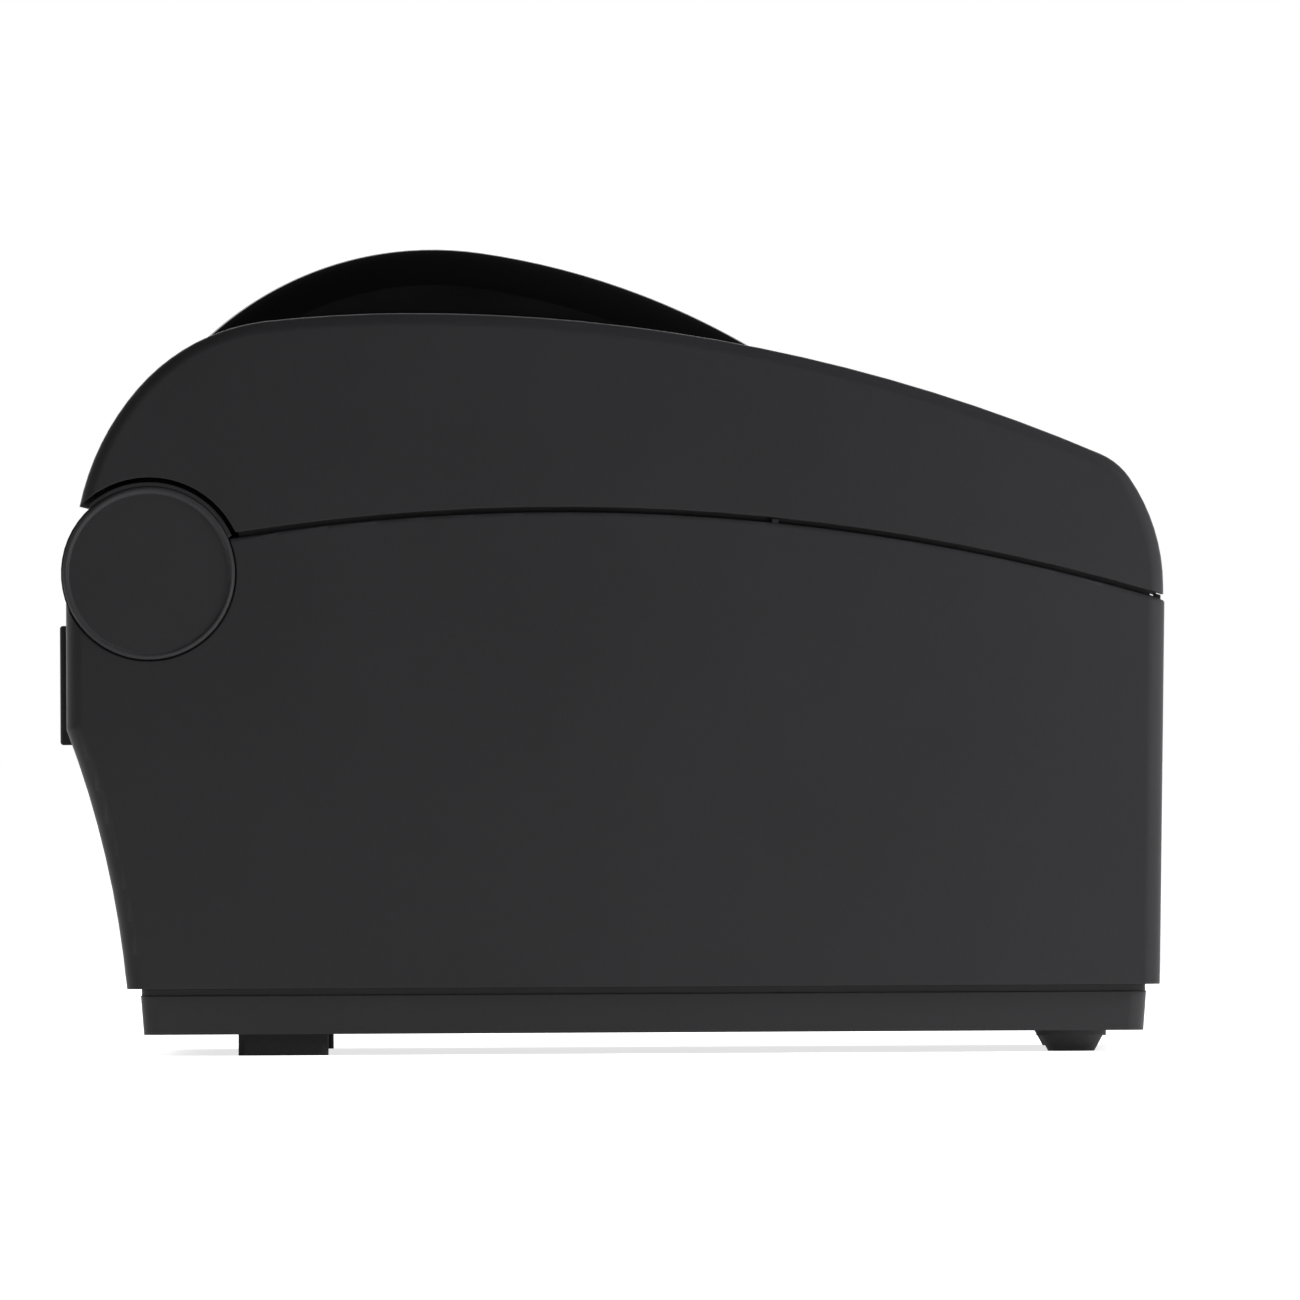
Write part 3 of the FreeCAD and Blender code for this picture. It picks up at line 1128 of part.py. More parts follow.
def tear_bar():
    """Serrated steel strip in front of the platen."""
    half = PLATE_Y - 1.0
    count = int(2 * half / TEAR_PITCH)
    low = PLATEN_Z - 6.0
    high = seam_z(FRONT_X) + 0.6
    left = -count * TEAR_PITCH / 2
    points = [Vec(FRAME_FRONT_X, left, low), Vec(FRAME_FRONT_X, -left, low)]
    for n in range(count, -1, -1):
        points.append(Vec(FRAME_FRONT_X, left + n * TEAR_PITCH, high - TEAR_DEPTH))
        if n:
            points.append(Vec(FRAME_FRONT_X, left + (n - 0.5) * TEAR_PITCH, high))
    return Part.Face(Part.makePolygon(points + points[:1])).extrude(Vec(1.0, 0, 0))


def motor_body():
    half = MOTOR_SIDE / 2
    y1 = PLATE_Y
    y0 = y1 - MOTOR_LENGTH
    block = box(MOTOR_X - half, MOTOR_X + half, y0, y1, MOTOR_Z - half, MOTOR_Z + half)
    edges = [edge for edge in block.Edges if edge.BoundBox.YLength > 1.0]
    block = block.makeChamfer(4.0, edges)
    boss = rod(MOTOR_X, MOTOR_Z, 7.8, y1 - 1.0, y1 + PLATE)
    reach = half + 1.0
    groove = box(MOTOR_X - reach, MOTOR_X + reach, y0 + 8.0, y0 + 22.0, MOTOR_Z - reach, MOTOR_Z + reach)
    core = rod(MOTOR_X, MOTOR_Z, half - 0.6, y0 + 8.0, y0 + 22.0)
    bore = rod(MOTOR_X, MOTOR_Z, MOTOR_SHAFT_RADIUS + RUNNING_GAP, y0 + 4.0, y1 + PLATE + 1.0)
    return join(block.cut(groove), core, boss).cut(bore)


def motor_shaft():
    return rod(MOTOR_X, MOTOR_Z, MOTOR_SHAFT_RADIUS, PLATE_Y - MOTOR_LENGTH + 5.0, GEAR_OUTER_Y + GEAR_WIDTH)


def idler_axle():
    axle = rod(IDLER_X, IDLER_Z, IDLER_AXLE_RADIUS, PLATE_Y + PLATE, GEAR_OUTER_Y + GEAR_WIDTH + 1.4)
    collar = rod(IDLER_X, IDLER_Z, 5.0, PLATE_Y + PLATE, GEAR_Y - 0.4)
    cap_y = GEAR_OUTER_Y + GEAR_WIDTH + 0.4
    cap = rod(IDLER_X, IDLER_Z, 4.2, cap_y, cap_y + 1.0)
    return join(axle, collar, cap)


# Latch

def latch_shaft():
    return rod(LATCH_X, LATCH_Z, LATCH_RADIUS, -HOOK_Y - HOOK_WIDTH - 1.0, INNER_HALF - 1.0)


def latch_hook():
    """Left hook: a boss on the shaft and an arm with a forward nose."""
    half = HOOK_THICKNESS / 2
    nose_z = seam_z(LATCH_X) - DECK_DROP + 5.0
    tip = nose_z + 5.0
    nose_x = LATCH_X + half + HOOK_NOSE - 2.4
    arm = polygon([(LATCH_X - half, LATCH_Z), (LATCH_X + half - 2.0, LATCH_Z),
                   (LATCH_X + half - 2.0, nose_z), (nose_x, nose_z), (nose_x, nose_z + 1.6),
                   (LATCH_X + half - 2.6, tip), (LATCH_X - half, tip)],
                  HOOK_Y, HOOK_Y + HOOK_WIDTH)
    boss = rod(LATCH_X, LATCH_Z, LATCH_RADIUS + 2.5, HOOK_Y, HOOK_Y + HOOK_WIDTH)
    bore = rod(LATCH_X, LATCH_Z, LATCH_RADIUS, HOOK_Y - 1.0, HOOK_Y + HOOK_WIDTH + 1.0)
    return join(arm, boss).cut(bore)


def release_lever():
    half = LEVER_HEIGHT / 2
    y0 = INNER_HALF - POCKET_DEPTH + 2.0
    y1 = HALF_WIDTH - 0.4
    paddle = polygon([(LATCH_X, LATCH_Z - half), (LATCH_X + LEVER_LENGTH, LATCH_Z - half + 1.5),
                      (LATCH_X + LEVER_LENGTH, LATCH_Z + half - 3.5), (LATCH_X, LATCH_Z + half)], y0, y1)
    edges = [edge for edge in paddle.Edges
             if edge.BoundBox.YLength > 1.0 and edge.BoundBox.XMin > LATCH_X + 1.0]
    paddle = paddle.makeFillet(1.8, edges)
    boss = rod(LATCH_X, LATCH_Z, half, y0, y1)
    bore = rod(LATCH_X, LATCH_Z, LATCH_RADIUS, y0 - 1.0, INNER_HALF - 1.0)
    return join(paddle, boss).cut(bore)


def latch_striker():
    z0 = seam_z(STRIKER_X) - DECK_DROP + 2.5
    tab = box(STRIKER_X, STRIKER_X + 3.0, HOOK_Y, HOOK_Y + HOOK_WIDTH,
              z0, seam_z(STRIKER_X, CARRIER_TOP_R) + 4.0)
    under = seam_slab(SEAM_RADIUS - 30.0, CARRIER_LOW_R, CARRIER_REAR_X, FRONT_X, -HALF_WIDTH, HALF_WIDTH)
    foot = seam_slab(CARRIER_LOW_R - 1.5, CARRIER_LOW_R, STRIKER_X, STRIKER_X + 14.0,
                     HOOK_Y, HOOK_Y + HOOK_WIDTH)
    return join(tab.common(under), foot)


# Media sensor

def media_sensor():
    half = SENSOR_LENGTH / 2
    half_y = SENSOR_WIDTH / 2
    neck = seam_slab(DECK_LOW_R - 3.0, DECK_TOP_R + SENSOR_PROUD, SENSOR_X - half + SLIDE_GAP,
                     SENSOR_X + half - SLIDE_GAP, -half_y, half_y)
    foot = seam_slab(DECK_LOW_R - 4.0, DECK_LOW_R - PIECE_GAP, SENSOR_X - half - 3.0, SENSOR_X + half + 3.0,
                     -half_y, half_y)
    eye = post(SENSOR_X, 0.0, 1.6, seam_z(SENSOR_X, DECK_TOP_R) - 1.0, seam_z(SENSOR_X, DECK_TOP_R) + 3.0)
    return join(neck, foot).cut(eye)


# Print head

def head_carrier():
    """Inner floor and back wall of the cover's nose."""
    half = INNER_HALF - PIECE_GAP
    front_x = COVER_FRONT_X - WALL - PIECE_GAP
    floor = seam_slab(CARRIER_LOW_R, CARRIER_TOP_R, CARRIER_REAR_X, front_x, -half, half)
    low = seam_z(CARRIER_REAR_X, CARRIER_LOW_R)
    back = box(CARRIER_REAR_X, CARRIER_REAR_X + CARRIER_PLATE, -half, half, low + 0.5, COVER_TOP_Z)
    rests = []
    for x in (HEAD_REAR_X - 4.0, HEAD_REAR_X + HEAD_DEPTH - 5.0):
        for y in (-HEAD_LENGTH / 2 - 9.0, HEAD_LENGTH / 2 + 3.0):
            rests.append(box(x, x + 6.0, y, y + 6.0, seam_z(x, CARRIER_LOW_R) + 0.8, BRACKET_Z))
    ties = [post(x, y, 3.0, seam_z(x, CARRIER_LOW_R) + 0.5, COVER_TOP_Z)
            for x in (CARRIER_REAR_X + 16.0, FRONT_X - 24.0) for y in (-TIE_Y, TIE_Y)]
    inside = cover_fill(WALL + PIECE_GAP, half)
    trimmed = [piece.common(inside) for piece in [floor, back] + ties]
    carrier = join(*trimmed, *rests)
    head_half = HEAD_LENGTH / 2 + 1.5
    well = box(HEAD_REAR_X - 1.5, HEAD_REAR_X + HEAD_DEPTH + 1.5, -head_half, head_half,
               HEAD_Z - 5.0, BRACKET_Z + 5.0)
    return carrier.cut(well)


def head_substrate():
    half = HEAD_LENGTH / 2 - 2.0
    plate = box(HEAD_REAR_X, HEAD_REAR_X + HEAD_DEPTH, -half, half, HEAD_Z + 0.15, HEATSINK_Z)
    glaze = rod(PLATEN_X, HEAD_Z + 1.0, 1.0, -half + 1.0, half - 1.0)
    return join(plate, glaze)


def head_heatsink():
    half = HEAD_LENGTH / 2
    block = box(HEAD_REAR_X, HEAD_REAR_X + HEAD_DEPTH, -half, half, HEATSINK_Z, HEATSINK_Z + HEATSINK)
    grooves = [box(HEAD_REAR_X + 3.0 * n, HEAD_REAR_X + 3.0 * n + 1.4, -half - 1, half + 1,
                   HEATSINK_Z + 3.0, HEATSINK_Z + HEATSINK - 1.2) for n in (0, 5)]
    return block.cut(grooves)


def head_bracket():
    half = HEAD_LENGTH / 2 + 9.0
    x0 = HEAD_REAR_X - 4.0
    x1 = HEAD_REAR_X + HEAD_DEPTH + 1.0
    plate = box(x0, x1, -half, half, BRACKET_Z, BRACKET_Z + BRACKET)
    rear = box(x0, x0 + BRACKET, -half, half, BRACKET_Z, BRACKET_Z + 7.0)
    holes = [post(PLATEN_X, y, 2.0, BRACKET_Z - 1.0, BRACKET_Z + 3.0) for y in (-30.0, 30.0)]
    return join(plate, rear).cut(holes)


def spring_path(x, y, radius, z0, z1, turns):
    """Coil of quarter-turn arcs from z0 to z1."""
    def spot(t):
        angle = 2 * math.pi * turns * t
        return Vec(x + radius * math.cos(angle), y + radius * math.sin(angle), z0 + (z1 - z0) * t)
    count = 4 * turns
    arcs = [Part.Arc(spot(n / count), spot((n + 0.5) / count), spot((n + 1) / count)).toShape()
            for n in range(count)]
    return Part.Wire(arcs)


def eight_sided_ring(centre, side, up, radius):
    points = []
    for n in range(8):
        angle = math.pi * (2 * n + 1) / 8
        points.append(centre + side * (radius * math.cos(angle)) + up * (radius * math.sin(angle)))
    return Part.makePolygon(points + points[:1])


def head_springs():
    springs = []
    for y in (-38.0, 38.0):
        z0 = HEATSINK_Z + HEATSINK + SPRING_WIRE + 0.1
        z1 = BRACKET_Z - SPRING_WIRE - 0.1
        path = spring_path(PLATEN_X, y, SPRING_RADIUS, z0, z1, SPRING_TURNS)
        start = path.Edges[0].valueAt(path.Edges[0].FirstParameter)
        along = path.Edges[0].tangentAt(path.Edges[0].FirstParameter)
        side = Vec(0, 0, 1).cross(along).normalize()
        ring = eight_sided_ring(start, side, along.cross(side), SPRING_WIRE)
        springs.append(path.makePipeShell([ring], True, False))
    return springs


# Feed button

def feed_button():
    cap = button_rod(BUTTON_RADIUS, 0.2, 5.0, BUTTON_Y)
    stem = button_rod(2.5, 4.0, BUTTON_BOARD_DEPTH - 4.0 - BUTTON_TRAVEL - 0.4, BUTTON_Y)
    collar = button_rod(BUTTON_RADIUS + 1.5, WALL + 1.0, 5.0, BUTTON_Y)
    skin_z = crown_point(BUTTON_X, 1.0)[0].z
    edges = [edge for edge in cap.Edges if edge.Length > 40.0 and edge.CenterOfMass.z > skin_z]
    return join(cap.makeChamfer(0.6, edges), stem, collar)


def status_lenses():
    lenses = []
    for y in lens_places():
        pipe = button_rod(LENS_RADIUS, 0.1, BUTTON_BOARD_DEPTH - 1.0, y)
        collar = button_rod(LENS_RADIUS + 1.0, WALL + 0.2, WALL + 1.4, y)
        lenses.append(join(pipe, collar))
    return lenses


def button_board():
    low = crown_point(BUTTON_X, BUTTON_BOARD_DEPTH + BUTTON_BOARD)[0]
    board = box(-9.0, 9.0, -16.0, 36.0, 0.0, BUTTON_BOARD)
    switch = box(-3.0, 3.0, -3.0, 3.0, BUTTON_BOARD, BUTTON_BOARD + 3.6)
    shape = join(board, switch)
    tilt = FreeCAD.Rotation(Vec(0, 0, 1), BUTTON_OUT)
    shape.Placement = FreeCAD.Placement(Vec(low.x, BUTTON_Y, low.z), tilt)
    return shape


# Boards and sockets

def main_board():
    x0 = PAN_REAR_X + WALL + PAN_DRAFT + PIECE_GAP
    board = box(x0, x0 + BOARD_LENGTH, -BOARD_HALF_WIDTH, BOARD_HALF_WIDTH, BOARD_Z, BOARD_Z + BOARD)
    return board.cut([post(x, y, 1.6, BOARD_Z - 1.0, BOARD_Z + 3.0) for x, y in board_posts()])


def board_chips():
    z = BOARD_Z + BOARD
    x0 = PANEL_X + 40.0
    chips = [box(x0, x0 + 18.0, 30.0, 48.0, z, z + 1.6), box(x0 + 4.0, x0 + 14.0, 58.0, 66.0, z, z + 1.4),
             box(x0, x0 + 12.0, -60.0, -42.0, z, z + 1.8), box(x0 + 66.0, x0 + 72.0, -30.0, 6.0, z, z + 6.0)]
    chips += [post(x0 + 4.0 - 16.0 * n, BOARD_HALF_WIDTH - 14.0, 5.0, z, z + 12.0) for n in range(2)]
    return chips


def socket_block(y, width, height, depth):
    """Plain body of a socket that stands on the board and looks out at the back."""
    x0 = PANEL_X - SOCKET_PROUD
    z0 = BOARD_Z + BOARD
    return box(x0, x0 + depth, y - width / 2, y + width / 2, z0, z0 + height)


def usb_socket():
    x0 = PANEL_X - SOCKET_PROUD
    z0 = BOARD_Z + BOARD
    shell = socket_block(USB_Y, 12.0, 11.0, 16.0)
    mouth = box(x0 - 1.0, x0 + 9.0, USB_Y - 4.3, USB_Y + 4.3, z0 + 1.5, z0 + 9.5)
    edges = [edge for edge in mouth.Edges if edge.BoundBox.XLength > 5.0 and edge.BoundBox.ZMin > z0 + 5.0]
    mouth = mouth.makeChamfer(2.0, edges)
    tongue = box(x0 + 0.8, x0 + 10.0, USB_Y - 2.8, USB_Y + 2.8, z0 + 3.9, z0 + 7.1)
    return join(shell.cut(mouth), tongue)


def network_socket():
    x0 = PANEL_X - SOCKET_PROUD
    z0 = BOARD_Z + BOARD
    shell = socket_block(NETWORK_Y, 16.0, 13.4, 21.0)
    mouth = box(x0 - 1.0, x0 + 12.0, NETWORK_Y - 5.9, NETWORK_Y + 5.9, z0 + 2.6, z0 + 9.6)
    key = box(x0 - 1.0, x0 + 12.0, NETWORK_Y - 3.2, NETWORK_Y + 3.2, z0 + 1.0, z0 + 3.0)
    return shell.cut([mouth, key])


def power_jack():
    x0 = PANEL_X - SOCKET_PROUD
    z = BOARD_Z + BOARD + 5.5
    shell = socket_block(JACK_Y, 9.0, 11.0, 14.0)
    bore = Part.makeCylinder(3.1, 10.0, Vec(x0 - 1.0, JACK_Y, z), Vec(1, 0, 0))
    pin = Part.makeCylinder(1.0, 9.0, Vec(x0 + 0.8, JACK_Y, z), Vec(1, 0, 0))
    return join(shell.cut(bore), pin)


def switch_centre():
    return PANEL_X - 1.2, PANEL_LOW_Z + PANEL_HEIGHT / 2


def switch_body():
    """Snap-in body of the power switch with a frame round the rocker."""
    x, z = switch_centre()
    half = ROCKER_WIDTH / 2
    flange = box(x - 0.4, PANEL_X, SWITCH_Y - half - 3.0, SWITCH_Y + half + 3.0, z - 10.5, z + 10.5)
    edges = [edge for edge in flange.Edges if edge.BoundBox.XLength > 1.0]
    flange = flange.makeFillet(1.2, edges)
    body = box(PANEL_X - 0.2, PANEL_X + 15.0, SWITCH_Y - half - 1.6, SWITCH_Y + half + 1.6, z - 9.3, z + 9.3)
    room = box(x - 3.0, x + 9.0, SWITCH_Y - half - 0.35, SWITCH_Y + half + 0.35,
               z - ROCKER_RADIUS - 1.6, z + ROCKER_RADIUS + 1.6)
    pins = rod(x + 2.0, z, 1.5, SWITCH_Y - half - 1.0, SWITCH_Y + half + 1.0)
    return join(join(flange, body).cut(room), pins)


def power_rocker():
    """Rocker with two slanted faces, at rest with its upper half pressed."""
    x, z = switch_centre()
    pivot_x = x + 2.0
    half = ROCKER_WIDTH / 2
    reach = ROCKER_RADIUS + 1.0
    face = polygon([(pivot_x + 3.0, z - reach + 1.0), (pivot_x + 3.0, z + reach - 1.0),
                    (pivot_x - 3.2, z + reach), (pivot_x - 2.0, z), (pivot_x - 3.2, z - reach)],
                   SWITCH_Y - half, SWITCH_Y + half)
    face = face.cut(rod(pivot_x, z, 1.5 + RUNNING_GAP, SWITCH_Y - half - 1, SWITCH_Y + half + 1))
    face.rotate(Vec(pivot_x, 0, z), Vec(0, 1, 0), ROCKER_TILT)
    return face


def socket_panel():
    z0 = PANEL_LOW_Z - PANEL_RIM
    z1 = PANEL_LOW_Z + PANEL_HEIGHT + PANEL_RIM
    half = PANEL_HALF_WIDTH + PANEL_RIM
    plate = box(PANEL_X, PANEL_X + PANEL, -half, half, z0, z1)
    x0 = PANEL_X - 1.0
    x1 = PANEL_X + 3.0
    base = BOARD_Z + BOARD - SOCKET_GAP
    holes = []
    for y, width, height in ((USB_Y, 12.0, 11.0), (NETWORK_Y, 16.0, 13.4), (JACK_Y, 9.0, 11.0)):
        reach = width / 2 + SOCKET_GAP
        holes.append(box(x0, x1, y - reach, y + reach, base, base + height + 2 * SOCKET_GAP))
    z = switch_centre()[1]
    reach = ROCKER_WIDTH / 2 + 1.6 + SOCKET_GAP
    holes.append(box(x0, x1, SWITCH_Y - reach, SWITCH_Y + reach, z - 9.3 - SOCKET_GAP, z + 9.3 + SOCKET_GAP))
    return plate.cut(holes)


os.makedirs("parts", exist_ok=True)

save("base_housing", base_housing())
save("bottom_plate", bottom_plate())
save("rear_feet", *rear_feet())
save("front_feet", *front_feet())
save("hinge_caps", *hinge_caps())
save("hinge_pins", *hinge_pins())
save("rear_slot_bezel", rear_slot_bezel())
save("roll_bay", roll_bay())
save("label_deck", label_deck())
save("lever_pocket", lever_pocket())
save("pinion_clip", pinion_clip())
save("rack_pinion", rack_pinion())
save("roll_holder_left", roll_holder())
save("roll_holder_right", turned(roll_holder()))
save("roll_hub_left", roll_hub())
save("roll_hub_right", turned(roll_hub()))
save("media_sensor", media_sensor())
save("platen_frame", platen_frame())
save("platen_bushes", *both(platen_bush()))
save("platen_shaft", platen_shaft())
save("platen_rubber", platen_rubber())
save("platen_gear", platen_gear())
save("idler_axle", idler_axle())
save("idler_gear", idler_gear())
save("motor_body", motor_body())
save("motor_shaft", motor_shaft())
save("motor_pinion", motor_pinion())
save("tear_bar", tear_bar())
save("latch_shaft", latch_shaft())
save("latch_hooks", *both(latch_hook()))
save("release_lever", release_lever())
save("latch_strikers", *both(latch_striker()))
save("cover_shell", cover_shell())
save("cover_window", window())
save("head_carrier", head_carrier())
save("head_bracket", head_bracket())
save("head_heatsink", head_heatsink())
save("head_substrate", head_substrate())
save("head_springs", *head_springs())
save("feed_button", feed_button())
save("status_lenses", *status_lenses())
save("button_board", button_board())
save("main_board", main_board())
save("board_chips", *board_chips())
save("usb_socket", usb_socket())
save("network_socket", network_socket())
save("power_jack", power_jack())
save("socket_panel", socket_panel())
save("switch_body", switch_body())
save("power_rocker", power_rocker())
save("bottom_screws", *[screw(x, y, 3.6, FOOT_HEIGHT + 1.4, -1.2, FOOT_HEIGHT + 9.0)
                        for x, y in bottom_screw_places()])
save("frame_screws", *[screw(x, y, 3.0, FRAME_FLOOR_Z + PLATE, 2.0, FRAME_FLOOR_Z - 6.0)
                       for x, y in frame_posts()])
save("board_screws", *[screw(x, y, 3.0, BOARD_Z + BOARD, 2.0, BOARD_Z - 5.0) for x, y in board_posts()])
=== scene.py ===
import json
import math

import bmesh
import bpy
from mathutils import Matrix, Vector

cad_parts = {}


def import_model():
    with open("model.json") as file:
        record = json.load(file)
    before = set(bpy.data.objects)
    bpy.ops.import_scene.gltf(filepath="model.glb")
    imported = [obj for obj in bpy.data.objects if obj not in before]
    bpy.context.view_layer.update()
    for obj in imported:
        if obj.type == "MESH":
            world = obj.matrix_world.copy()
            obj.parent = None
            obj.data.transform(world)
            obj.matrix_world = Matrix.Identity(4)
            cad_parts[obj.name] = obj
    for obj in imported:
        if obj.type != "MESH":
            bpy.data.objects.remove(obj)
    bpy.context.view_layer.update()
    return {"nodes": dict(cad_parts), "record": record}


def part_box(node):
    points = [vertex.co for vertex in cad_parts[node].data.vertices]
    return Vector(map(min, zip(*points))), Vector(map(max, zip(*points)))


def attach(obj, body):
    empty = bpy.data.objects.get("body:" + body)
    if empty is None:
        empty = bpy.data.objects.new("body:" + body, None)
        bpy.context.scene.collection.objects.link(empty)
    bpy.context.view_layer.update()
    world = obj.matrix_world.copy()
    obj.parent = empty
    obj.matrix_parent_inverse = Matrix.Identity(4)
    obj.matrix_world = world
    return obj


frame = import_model()

# Lengths are in metres unless a name says otherwise.

# Photo camera: pixels of the square photo against millimetres on the printer's right side
PHOTO_PIXELS = 1300
MM_PER_PIXEL = 0.2457
ORIGIN_PIXEL = (613.5, 1054.0)      # where the printer's origin falls in the photo
PHOTO_ROLL = math.radians(0.3)      # the printer leans this much in the photo
CAMERA_DISTANCE = 12.0              # from the printer's right side
SIDE_Y = -0.1125                    # the printer's right side
SENSOR_MM = 36.0
CLIP_END = 100.0

# Floor and backdrop
WHITE = (1.0, 1.0, 1.0, 1.0)
FLOOR_SIZE = 60.0
FLOOR_TONES = ((0.90, 0.90, 0.90), (0.94, 0.94, 0.94))
FLOOR_CLOUDS = 3.0                  # noise scale, per metre
FLOOR_ROUGHNESS = 0.9
FLOOR_GLOW = 0.75                   # added to the floor where it shows as background
SHEET_EDGE = (-0.8, -0.2)           # y where the white floor fades out in reflections
ROOM_EDGE = (-0.1, 0.3)             # y of directions where the dim room turns into the backdrop
WALL_TOP = (0.1, 0.4)               # z of directions where the backdrop ends below a dim ceiling
ROOM_LIGHT = 0.04
BACKDROP_LIGHT = 1.0

# Lamps
SUN_PLACE = (0.3, -0.4, 2.6)
SUN_TARGET = (0.0, 0.0, 0.1)
SUN_STRENGTH = 1.1
SUN_ANGLE = math.radians(30.0)
# name, place, target, width, height, watts, whether gloss mirrors the lamp
AREA_LAMPS = (
    ("key", (0.60, -0.32, 0.30), (0.10, -0.11, 0.09), 0.25, 0.25, 5.0, False),
    ("low", (0.45, -0.62, 0.03), (0.11, -0.1, 0.005), 0.30, 0.03, 0.3, True),
    ("back", (0.0, 2.6, 0.9), (0.0, 0.0, 0.15), 3.0, 1.6, 30.0, True),
    ("rear", (-1.7, 0.9, 1.0), (-0.1, 0.1, 0.1), 1.0, 1.0, 22.0, False),
)

# Detail that all finishes share; noise scales are per metre
CLOUD_SCALE = 22.0
SMUDGE_SCALE = 60.0
NOISE_RANGE = (0.3, 0.7)            # part of a noise that carries its contrast
SPECKLE_SHARE = 0.35
SPECKLE_SHADE = 1.25
GRAIN_DEPTH = 0.0002
COAT_ROUGHNESS = 0.04
BEVEL_SAMPLES = 4
WEAR_AND_HIGHLIGHT_RANGE = (0.80, 0.985)          # cosine between the rounded normal and the plain one

# Sockets of the Mix node when it mixes colours
MIX_COLOURS = (6, 7)
MIX_RESULT = 2


class Nodes:
    """Short way to add and join the nodes of one material or world."""

    def __init__(self, owner):
        owner.use_nodes = True
        self.tree = owner.node_tree
        self.tree.nodes.clear()

    def add(self, kind, **values):
        node = self.tree.nodes.new(kind)
        for name, value in values.items():
            setattr(node, name, value)
        return node

    def join(self, output, target):
        self.tree.links.new(output, target)

    def combine(self, operation, first, second):
        """Number made from two outputs by a Math node."""
        node = self.add("ShaderNodeMath", operation=operation)
        self.join(first, node.inputs[0])
        self.join(second, node.inputs[1])
        return node.outputs["Value"]

    def axes(self, vector):
        """Outputs X, Y and Z of a vector."""
        node = self.add("ShaderNodeSeparateXYZ")
        self.join(vector, node.inputs[0])
        return node.outputs

    def noise(self, place, scale, detail=2.0):
        node = self.add("ShaderNodeTexNoise")
        node.inputs["Scale"].default_value = scale
        node.inputs["Detail"].default_value = detail
        self.join(place, node.inputs["Vector"])
        return node.outputs["Fac"]

    def span(self, value, low, high, start=NOISE_RANGE[0], end=NOISE_RANGE[1]):
        """Map a value from start..end to low..high."""
        node = self.add("ShaderNodeMapRange")
        node.inputs["From Min"].default_value = start
        node.inputs["From Max"].default_value = end
        node.inputs["To Min"].default_value = low
        node.inputs["To Max"].default_value = high
        self.join(value, node.inputs["Value"])
        return node.outputs["Result"]

    def mix(self, factor, first, second):
        """Mix two colours; each is a colour or an output."""
        node = self.add("ShaderNodeMix", data_type="RGBA")
        self.join(factor, node.inputs["Factor"])
        for value, index in zip((first, second), MIX_COLOURS):
            target = node.inputs[index]
            if isinstance(value, tuple):
                target.default_value = (*value, 1.0)
            else:
                self.join(value, target)
        return node.outputs[MIX_RESULT]

    def choose(self, factor, first, second):
        """Shader that goes from first to second as factor rises from 0 to 1."""
        node = self.add("ShaderNodeMixShader")
        self.join(factor, node.inputs[0])
        self.join(first, node.inputs[1])
        self.join(second, node.inputs[2])
        return node.outputs["Shader"]

    def backdrop_rays(self, there):
        """1 for camera rays; equal to there for rays off gloss or through glass; else 0."""
        path = self.add("ShaderNodeLightPath").outputs
        bent = self.combine("MAXIMUM", path["Is Glossy Ray"], path["Is Transmission Ray"])
        shown = self.combine("MULTIPLY", bent, there)
        return self.combine("MAXIMUM", path["Is Camera Ray"], shown)

    def wear_and_edge_highlight(self, rounded, amount):
        """Rises to amount on edges, where the rounded normal leaves the plain one: the mask of edge
        wear and painted edge highlight.
        """
        geometry = self.add("ShaderNodeNewGeometry")
        turn = self.add("ShaderNodeVectorMath", operation="DOT_PRODUCT")
        self.join(rounded, turn.inputs[0])
        self.join(geometry.outputs["Normal"], turn.inputs[1])
        return self.span(turn.outputs["Value"], amount, 0.0, *WEAR_AND_HIGHLIGHT_RANGE)


def shade(colour, factor):
    return tuple(min(1.0, channel * factor) for channel in colour)


